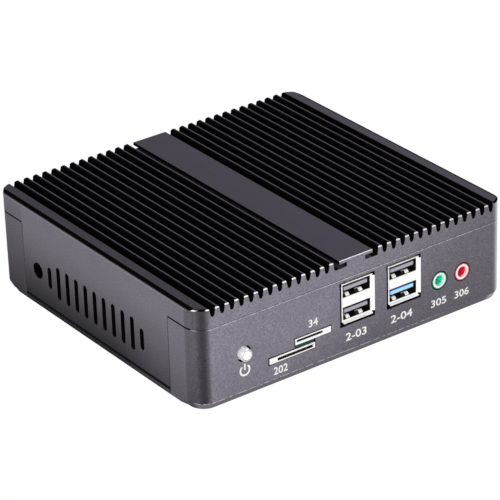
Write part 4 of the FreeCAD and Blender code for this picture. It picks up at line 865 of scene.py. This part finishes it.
# %% [markdown]
# Nearly all small pieces are prisms: a flat outline, drawn out along one axis. A prism is a
# skin over two rings of points, and turned pieces use the same skin over more rings.

# %% Skins and prisms
def skin(work, rings):
    """Close a body over rings of points: one face at either end and a wall between."""
    work.faces.new(rings[0])
    work.faces.new(rings[-1])
    for first, second in zip(rings, rings[1:]):
        for index in range(len(first)):
            after = (index + 1) % len(first)
            work.faces.new((first[index], first[after], second[after], second[index]))


def prism(work, outline, place, start, end):
    """A flat outline, drawn out from start to end. place(u, v, w) puts a point."""
    skin(work, [[work.verts.new(place(u, v, w)) for u, v in outline] for w in (start, end)])


def along_x(u, v, w):
    """Where a point of an outline goes when it is drawn out across."""
    return (w, u, v)


def along_y(u, v, w):
    return (u, w, v)


def along_z(u, v, w):
    return (u, v, w)


def block(work, low, high):
    """A box between two corners."""
    outline = [(low[0], low[1]), (high[0], low[1]), (high[0], high[1]), (low[0], high[1])]
    prism(work, outline, along_z, low[2], high[2])


print("skins, prisms and blocks can be drawn")

# %% [markdown]
# Two kinds of outline come up again and again. Springs and contacts are strips of sheet
# metal, so their outline follows a path and comes back one thickness away. Rings, holes
# and discs are round.

# %% Outlines
def bent_strip(path, thickness):
    """The outline of a strip that follows a path, to draw out as a prism."""
    upper = []
    for index, (u, v) in enumerate(path):
        before = path[max(index - 1, 0)]
        after = path[min(index + 1, len(path) - 1)]
        run = Vector((after[0] - before[0], after[1] - before[1])).normalized()
        upper.append((u - run.y * thickness, v + run.x * thickness))
    return list(path) + upper[::-1]


def round_outline(centre, radius, steps=24, start=0.0, turn=360.0):
    """Points round a circle, or round part of one."""
    count = steps if turn == 360.0 else steps + 1
    angles = [math.radians(start + turn * index / steps) for index in range(count)]
    return [(centre[0] + radius * math.cos(angle), centre[1] + radius * math.sin(angle))
            for angle in angles]


print("points of a full circle:", len(round_outline((0, 0), 1.0)))

# %% [markdown]
# ### Printed marks
# The marks are printed with white ink, a few hundredths of a millimetre thick. A picture
# laid on the wall would blur from near, so the marks are thin bodies. The power mark is a
# ring that is open at the top, with a bar in the gap. The ring is a row of short prisms.

# %% Power mark
ink = 0.03
into_wall = 0.05
ring_steps, ring_start, ring_turn = 28, 128, 284
bar_half = 0.3

work = bmesh.new()
mark_x, mark_z = button_x + 0.2, underside + 10.35
outer_ring, inner_ring = [
    round_outline((mark_x, mark_z), radius, ring_steps, ring_start, ring_turn)
    for radius in (2.25, 1.58)]
for index in range(ring_steps):
    piece = [outer_ring[index], outer_ring[index + 1], inner_ring[index + 1],
             inner_ring[index]]
    prism(work, piece, along_y, front_y - ink, front_y + into_wall)
bar_low, bar_high = mark_z + 0.1, button_low.z - 0.25
bar = [(mark_x - bar_half, bar_low), (mark_x + bar_half, bar_low),
       (mark_x + bar_half, bar_high), (mark_x - bar_half, bar_high)]
prism(work, bar, along_y, front_y - ink, front_y + into_wall)
bmesh.ops.remove_doubles(work, verts=work.verts, dist=1e-4)
finished("power_mark", work, "white_print")
print("power mark at height", round(mark_z, 2))

# %% [markdown]
# The sockets carry plain numbers. A text curve draws the digits, which is far less work
# than drawing them by hand. We size it by its own box, so that the digits come out at the
# height we ask for.

# %% Numbers at the sockets
def printed_number(name, text, left, right, low, high):
    """A number on the front face that fills a box given above the case's underside."""
    curve = bpy.data.curves.new(name, "FONT")
    curve.body = text
    curve.extrude = 0.04
    curve.offset = 0.014
    curve.resolution_u = 3
    source = linked(name + "_curve", curve)
    bpy.context.view_layer.update()
    mesh = source.to_mesh().copy()
    source.to_mesh_clear()
    bpy.data.objects.remove(source)
    xs = [corner.co.x for corner in mesh.vertices]
    ys = [corner.co.y for corner in mesh.vertices]
    work = bmesh.new()
    work.from_mesh(mesh)
    bpy.data.meshes.remove(mesh)
    for corner in work.verts:
        across = (corner.co.x - min(xs)) / (max(xs) - min(xs))
        upward = (corner.co.y - min(ys)) / (max(ys) - min(ys))
        deep = front_y - ink if corner.co.z > 0 else front_y + into_wall
        corner.co = (left + across * (right - left), deep,
                     underside + low + upward * (high - low))
    finished(name, work, "white_print")


for name, text, left, right, low, high in (
        ("card_mark_lower", "202", -36.2, -30.2, 3.9, 6.9),
        ("card_mark_upper", "34", -20.9, -16.9, 17.1, 20.0),
        ("usb_mark_left", "2-03", -5.0, 4.2, 6.1, 9.2),
        ("usb_mark_right", "2-04", 15.0, 24.7, 6.1, 9.2),
        ("sound_mark_left", "305", 33.2, 40.2, 6.0, 8.9),
        ("sound_mark_right", "306", 44.0, 50.6, 6.0, 9.0)):
    printed_number(name, text, left, right, low, high)
print("marks on the front face at y", round(front_y, 2))

# %% [markdown]
# ### Inside the stacked sockets
# Two leaf springs stand on the floor of each port and press on the plug. Each is a strip
# that rises toward the mouth and dips again. Four contacts lie under each tongue. A strip
# has the same width all along, so we only draw its side view and draw that out.

# %% Springs and contacts of the stacked sockets
mouth_depth = 0.55
leaf = 0.15
for number in (1, 2):
    middle_x = middle_mm("usb_insert_%d_lower" % number)[0]
    springs = bmesh.new()
    contacts = bmesh.new()
    for level in ("lower", "upper"):
        tongue_low = box_mm("usb_insert_%d_%s" % (number, level))[0]
        floor_z = tongue_low.z - 0.02
        mouth_y = front_y + mouth_depth
        path = [(mouth_y + 3.0, floor_z), (mouth_y + 2.0, floor_z + 0.85),
                (mouth_y + 1.2, floor_z + 1.05), (mouth_y + 0.5, floor_z + 0.55),
                (mouth_y + 0.3, floor_z + 0.05)]
        for shift in (-3.5, 2.2):
            prism(springs, bent_strip(path, leaf), along_x,
                  middle_x + shift - 0.8, middle_x + shift + 0.8)
        under_tongue = tongue_low.z + 2.05
        for step in (-3.5, -1.0, 1.0, 3.5):
            wire = [(front_y + 8.0, under_tongue), (front_y + 3.2, under_tongue - 0.35),
                    (front_y + 2.4, under_tongue - 0.1)]
            prism(contacts, bent_strip(wire, leaf), along_x,
                  middle_x + step - 0.45, middle_x + step + 0.45)
    finished("usb_springs_%d" % number, springs, "spring_steel", bevel=0.04)
    finished("usb_contacts_%d" % number, contacts, "socket_gold")
print("four springs and eight contacts in each stack")

# %% [markdown]
# ### Card holders
# In the mouth of each holder, under its lid, a row of thin sprung contacts waits for the
# card. One plate with slits would do from afar, but single bent strips catch the light one
# by one, as real springs do. Each follows three points in side view.

# %% Card contacts
for name, count, shift in (("sim_holder", 6, 1.2), ("tf_holder", 8, -1.5)):
    low, high = box_mm(name)
    middle_x = (low.x + high.x) / 2 + shift
    step = (high.x - low.x - 7.0) / count
    floor_z = low.z + 0.47
    work = bmesh.new()
    for index in range(count):
        x = middle_x + (index - (count - 1) / 2) * step
        path = [(low.y + 4.5, floor_z), (low.y + 1.6, floor_z + 0.5),
                (low.y + 0.9, floor_z + 0.15)]
        prism(work, bent_strip(path, 0.1), along_x, x - 0.35, x + 0.35)
    finished(name.replace("holder", "contacts"), work, "socket_gold")
print("card contacts made")

# %% [markdown]
# ### Sound sockets
# Deep in each barrel sits a sprung contact, and a small key shows at its edge. The bore is
# narrow and dark, so three plain shapes are enough: a disc that closes the back, and two
# bent strips, one drawn in side view and the other from above.

# %% Sound socket contacts
for name in ("sound_socket_out", "sound_socket_mic"):
    x, z = middle_mm(name.replace("socket", "collar"))
    work = bmesh.new()
    back = front_y + 13.5
    prism(work, round_outline((x, z), 1.72, 24), along_y, back, back + 0.2)
    spring = [(front_y + 9.0, z - 1.75), (front_y + 4.0, z - 1.05), (front_y + 3.0, z - 1.6)]
    prism(work, bent_strip(spring, leaf), along_x, x - 0.5, x + 0.5)
    key = [(x + 1.78, front_y + 8.0), (x + 1.1, front_y + 3.5), (x + 1.5, front_y + 2.4)]
    prism(work, bent_strip(key, 0.12), along_z, z - 0.45, z + 0.45)
    finished(name + "_contacts", work, "black_plastic")
print("sound contacts made")

# %% [markdown]
# ### The plate's side edges
# Along the two sides the base plate keeps an upright edge below the cover, with a small
# round at its foot. A bevel on a bar would end bluntly, so the edge is skinned over four
# sections: it is full between the middle two and sinks into the bevel before the corners.

# %% Side edges of the plate
plate_top, plate_foot = 3.28, 1.1
for side, name in ((-1, "plate_edge_left"), (1, "plate_edge_right")):
    work = bmesh.new()
    sections = []
    for distance, fullness in ((-55.0, 0.0), (-51.0, 1.0), (51.0, 1.0), (55.0, 0.0)):
        bulge = 0.98 * fullness
        profile = [(half_width - 1.2, plate_top - 0.03), (half_width - 0.02, plate_top),
                   (half_width - 1.08 + bulge * 1.06, 1.85 - 0.3 * fullness),
                   (half_width - 1.16 + bulge * 0.85, plate_foot),
                   (half_width - 1.5, plate_foot)]
        sections.append([work.verts.new((side * x, middle_y + distance, z))
                         for x, z in profile])
    skin(work, sections)
    finished(name, work, "case_aluminium")
print("plate edges from z", plate_foot, "to", plate_top)

# %% [markdown]
# ### The board's front edge
# Between the two card holders the board reaches almost to the front, and its green edge
# shows in the gap. The solid board ends further back, so a short block stands for its edge
# here, placed from the boxes of both holders. A small bevel on it catches the light.

# %% Front edge of the board
lower_high = box_mm("sim_holder")[1]
upper_low = box_mm("tf_holder")[0]
work = bmesh.new()
block(work, (upper_low.x - 0.2, front_y + 0.35, lower_high.z + 0.12),
      (lower_high.x + 0.1, front_y + 3.0, upper_low.z - 0.1))
finished("board_front_edge", work, "board_edge", bevel=0.06)
print("board edge from x", round(upper_low.x, 1), "to", round(lower_high.x, 1))

# %% [markdown]
# ### Rear sockets
# The network sockets hold eight gold wires each, and two small light windows over the
# opening. The flat display socket has a row of contacts on its tongue. The display socket
# with the slanted shell has fifteen holes in three rows. Each row is a loop that counts
# from the middle of its socket, so it stays centred when the socket moves.

# %% Rear socket details
for number in (1, 2):
    high = box_mm("lan_insert_%d" % number)[1]
    shell_high = box_mm("lan_shell_%d" % number)[1]
    x, z = middle_mm("lan_insert_%d" % number)
    wires = bmesh.new()
    for index in range(8):
        wire_x = x + (index - 3.5) * 1.02
        path = [(rear_y - 2.0, z + 2.9), (rear_y - 9.0, z + 0.7), (rear_y - 10.0, z + 0.3)]
        prism(wires, bent_strip(path, 0.25), along_x, wire_x - 0.2, wire_x + 0.2)
    finished("lan_wires_%d" % number, wires, "gold_pin")
    windows = bmesh.new()
    for shift in (-5.2, 5.2):
        block(windows, (x + shift - 1.3, high.y - 0.4, shell_high.z - 1.9),
              (x + shift + 1.3, high.y + 0.12, shell_high.z - 0.7))
    finished("lan_windows_%d" % number, windows, "light_window", bevel=0.1)

middle_x, tongue_z = middle_mm("hdmi_insert")
mouth_y = box_mm("hdmi_insert")[1].y
work = bmesh.new()
for index in range(10):
    x = middle_x + (index - 4.5) * 1.0
    block(work, (x - 0.25, mouth_y - 4.0, tongue_z - 0.6),
          (x + 0.25, mouth_y - 0.5, tongue_z + 0.6))
finished("hdmi_contacts", work, "gold_pin")

middle_x, middle_z = middle_mm("vga_insert")
mouth_y = box_mm("vga_insert")[1].y
column_step, row_step = 2.29, 1.98
work = bmesh.new()
for row, shift in ((-1, 0.0), (0, 1.15), (1, 0.0)):
    for index in range(5):
        centre = (middle_x + (index - 2) * column_step + shift - 0.5,
                  middle_z + row * row_step)
        prism(work, round_outline(centre, 0.5, 12), along_y, mouth_y - 0.1, mouth_y + 0.02)
finished("vga_holes", work, "black_plastic")
print("rear socket details made")

# %% [markdown]
# ### Screws from below
# The four cover screws have countersunk heads with a cross recess. The solids show them
# plain, so we make better ones in their place: the profile is turned round the axis, and a
# cross-shaped tool cuts the recess. Faces for a recess could be drawn by hand, but a
# Boolean finds them by itself. We keep its result as a plain mesh and throw the tool away.

# %% Places and profile of the cover screws
screw_low, screw_high = box_mm("cover_screws")
head_radius = 2.8
screw_x = screw_high.x - head_radius
screw_y = (screw_high.y - screw_low.y) / 2 - head_radius
screw_middle = (screw_high.y + screw_low.y) / 2
places = [(sx * screw_x, screw_middle + sy * screw_y) for sx in (-1, 1) for sy in (-1, 1)]


def turned_profile(work, profile, centre, steps=32):
    """Turn a profile of (radius, height) points round an upright axis."""
    rings = []
    for radius, height in profile:
        rings.append([work.verts.new((centre[0] + radius * math.cos(math.tau * k / steps),
                                      centre[1] + radius * math.sin(math.tau * k / steps),
                                      height)) for k in range(steps)])
    skin(work, rings)


print("screws stand at", [(round(x, 1), round(y, 1)) for x, y in places])

# %% [markdown]
# Each profile starts at the head's rim, runs up the cone and then zigzags along the shank,
# once for each turn of the thread. Rings instead of a true helix look the same from below.

# %% Screws with recesses
work = bmesh.new()
cutters = bmesh.new()
foot = screw_low.z
thread_outer, thread_inner, thread_step = 1.45, 1.22, 0.25
arm_half, arm_reach, recess_depth = 0.3, 1.45, 0.9
for centre in places:
    profile = [(2.62, foot), (head_radius, foot + 0.12), (1.6, foot + 1.3),
               (thread_outer, foot + 1.45)]
    height = foot + 1.6
    while height < screw_high.z - 0.5:
        profile += [(thread_outer, height), (thread_inner, height + thread_step / 2)]
        height += thread_step
    profile += [(1.3, screw_high.z - 0.2), (1.0, screw_high.z)]
    turned_profile(work, profile, centre)
    for wide, long in ((arm_half, arm_reach), (arm_reach, arm_half)):
        block(cutters, (centre[0] - wide, centre[1] - long, foot - 0.5),
              (centre[0] + wide, centre[1] + long, foot + recess_depth))
cross_tool = drawn_object("cross_tool", cutters)
screws = finished("cross_screws", work, "screw_steel")
cut = screws.modifiers.new("cross", "BOOLEAN")
cut.operation = "DIFFERENCE"
cut.solver = "EXACT"
cut.use_self = True
cut.object = cross_tool
bpy.context.view_layer.update()
shape = bpy.data.meshes.new_from_object(screws.evaluated_get(
    bpy.context.evaluated_depsgraph_get()))
screws.modifiers.clear()
screws.data = shape
bpy.data.objects.remove(cross_tool)
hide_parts("cover_screws")
print("cover screws:", len(places))

# %% [markdown]
# ### On the board
# The board carries more than the large parts. Rows of small chips with legs and of
# two-ended resistors fill the free ground in front of and behind the modules. They show
# only through the vents, so plain blocks are enough. All chips share one mesh and all legs
# another, because a hundred objects would be slower than a hundred blocks in one.

# %% Small parts on the board
top_z = box_mm("main_board")[1].z
foot_z = top_z - 0.02
leg_pitch = 0.85
chips = bmesh.new()
legs = bmesh.new()
for x, y, wide, long in ((-44, -41, 9, 6), (-24, -41, 5, 4), (-13, -41, 7, 5), (4, -41, 6, 4),
                         (18, -41, 7, 6), (-40, 36.5, 6, 4), (-12, 36.5, 8, 5)):
    block(chips, (x - wide / 2, y - long / 2, top_z + 0.15),
          (x + wide / 2, y + long / 2, top_z + 1.1))
    count = int(wide / 0.9)
    for index in range(count):
        leg_x = x + (index - (count - 1) / 2) * leg_pitch
        for leg_y in (y - long / 2 - 0.7, y + long / 2 - 0.05):
            block(legs, (leg_x - 0.18, leg_y, foot_z),
                  (leg_x + 0.18, leg_y + 0.75, top_z + 0.3))
finished("small_chips", chips, "black_plastic", bevel=0.12)
finished("chip_legs", legs, "bright_steel")
resistors = bmesh.new()
ends = bmesh.new()
for row, y in enumerate((-36.5, -35.2, 34.0)):
    for index in range(14):
        x = -20 + index * 2.9 + row * 0.6 if y < 0 else -30 + index * 2.6
        if y > 0 and abs(x) < 16:
            continue
        block(resistors, (x - 0.45, y - 0.3, foot_z), (x + 0.45, y + 0.3, top_z + 0.35))
        for end_x in (x - 0.55, x + 0.55):
            block(ends, (end_x - 0.14, y - 0.32, foot_z),
                  (end_x + 0.14, y + 0.32, top_z + 0.38))
finished("resistors", resistors, "black_plastic")
finished("resistor_ends", ends, "bright_steel")
print("small parts on the board at z", round(top_z, 2))
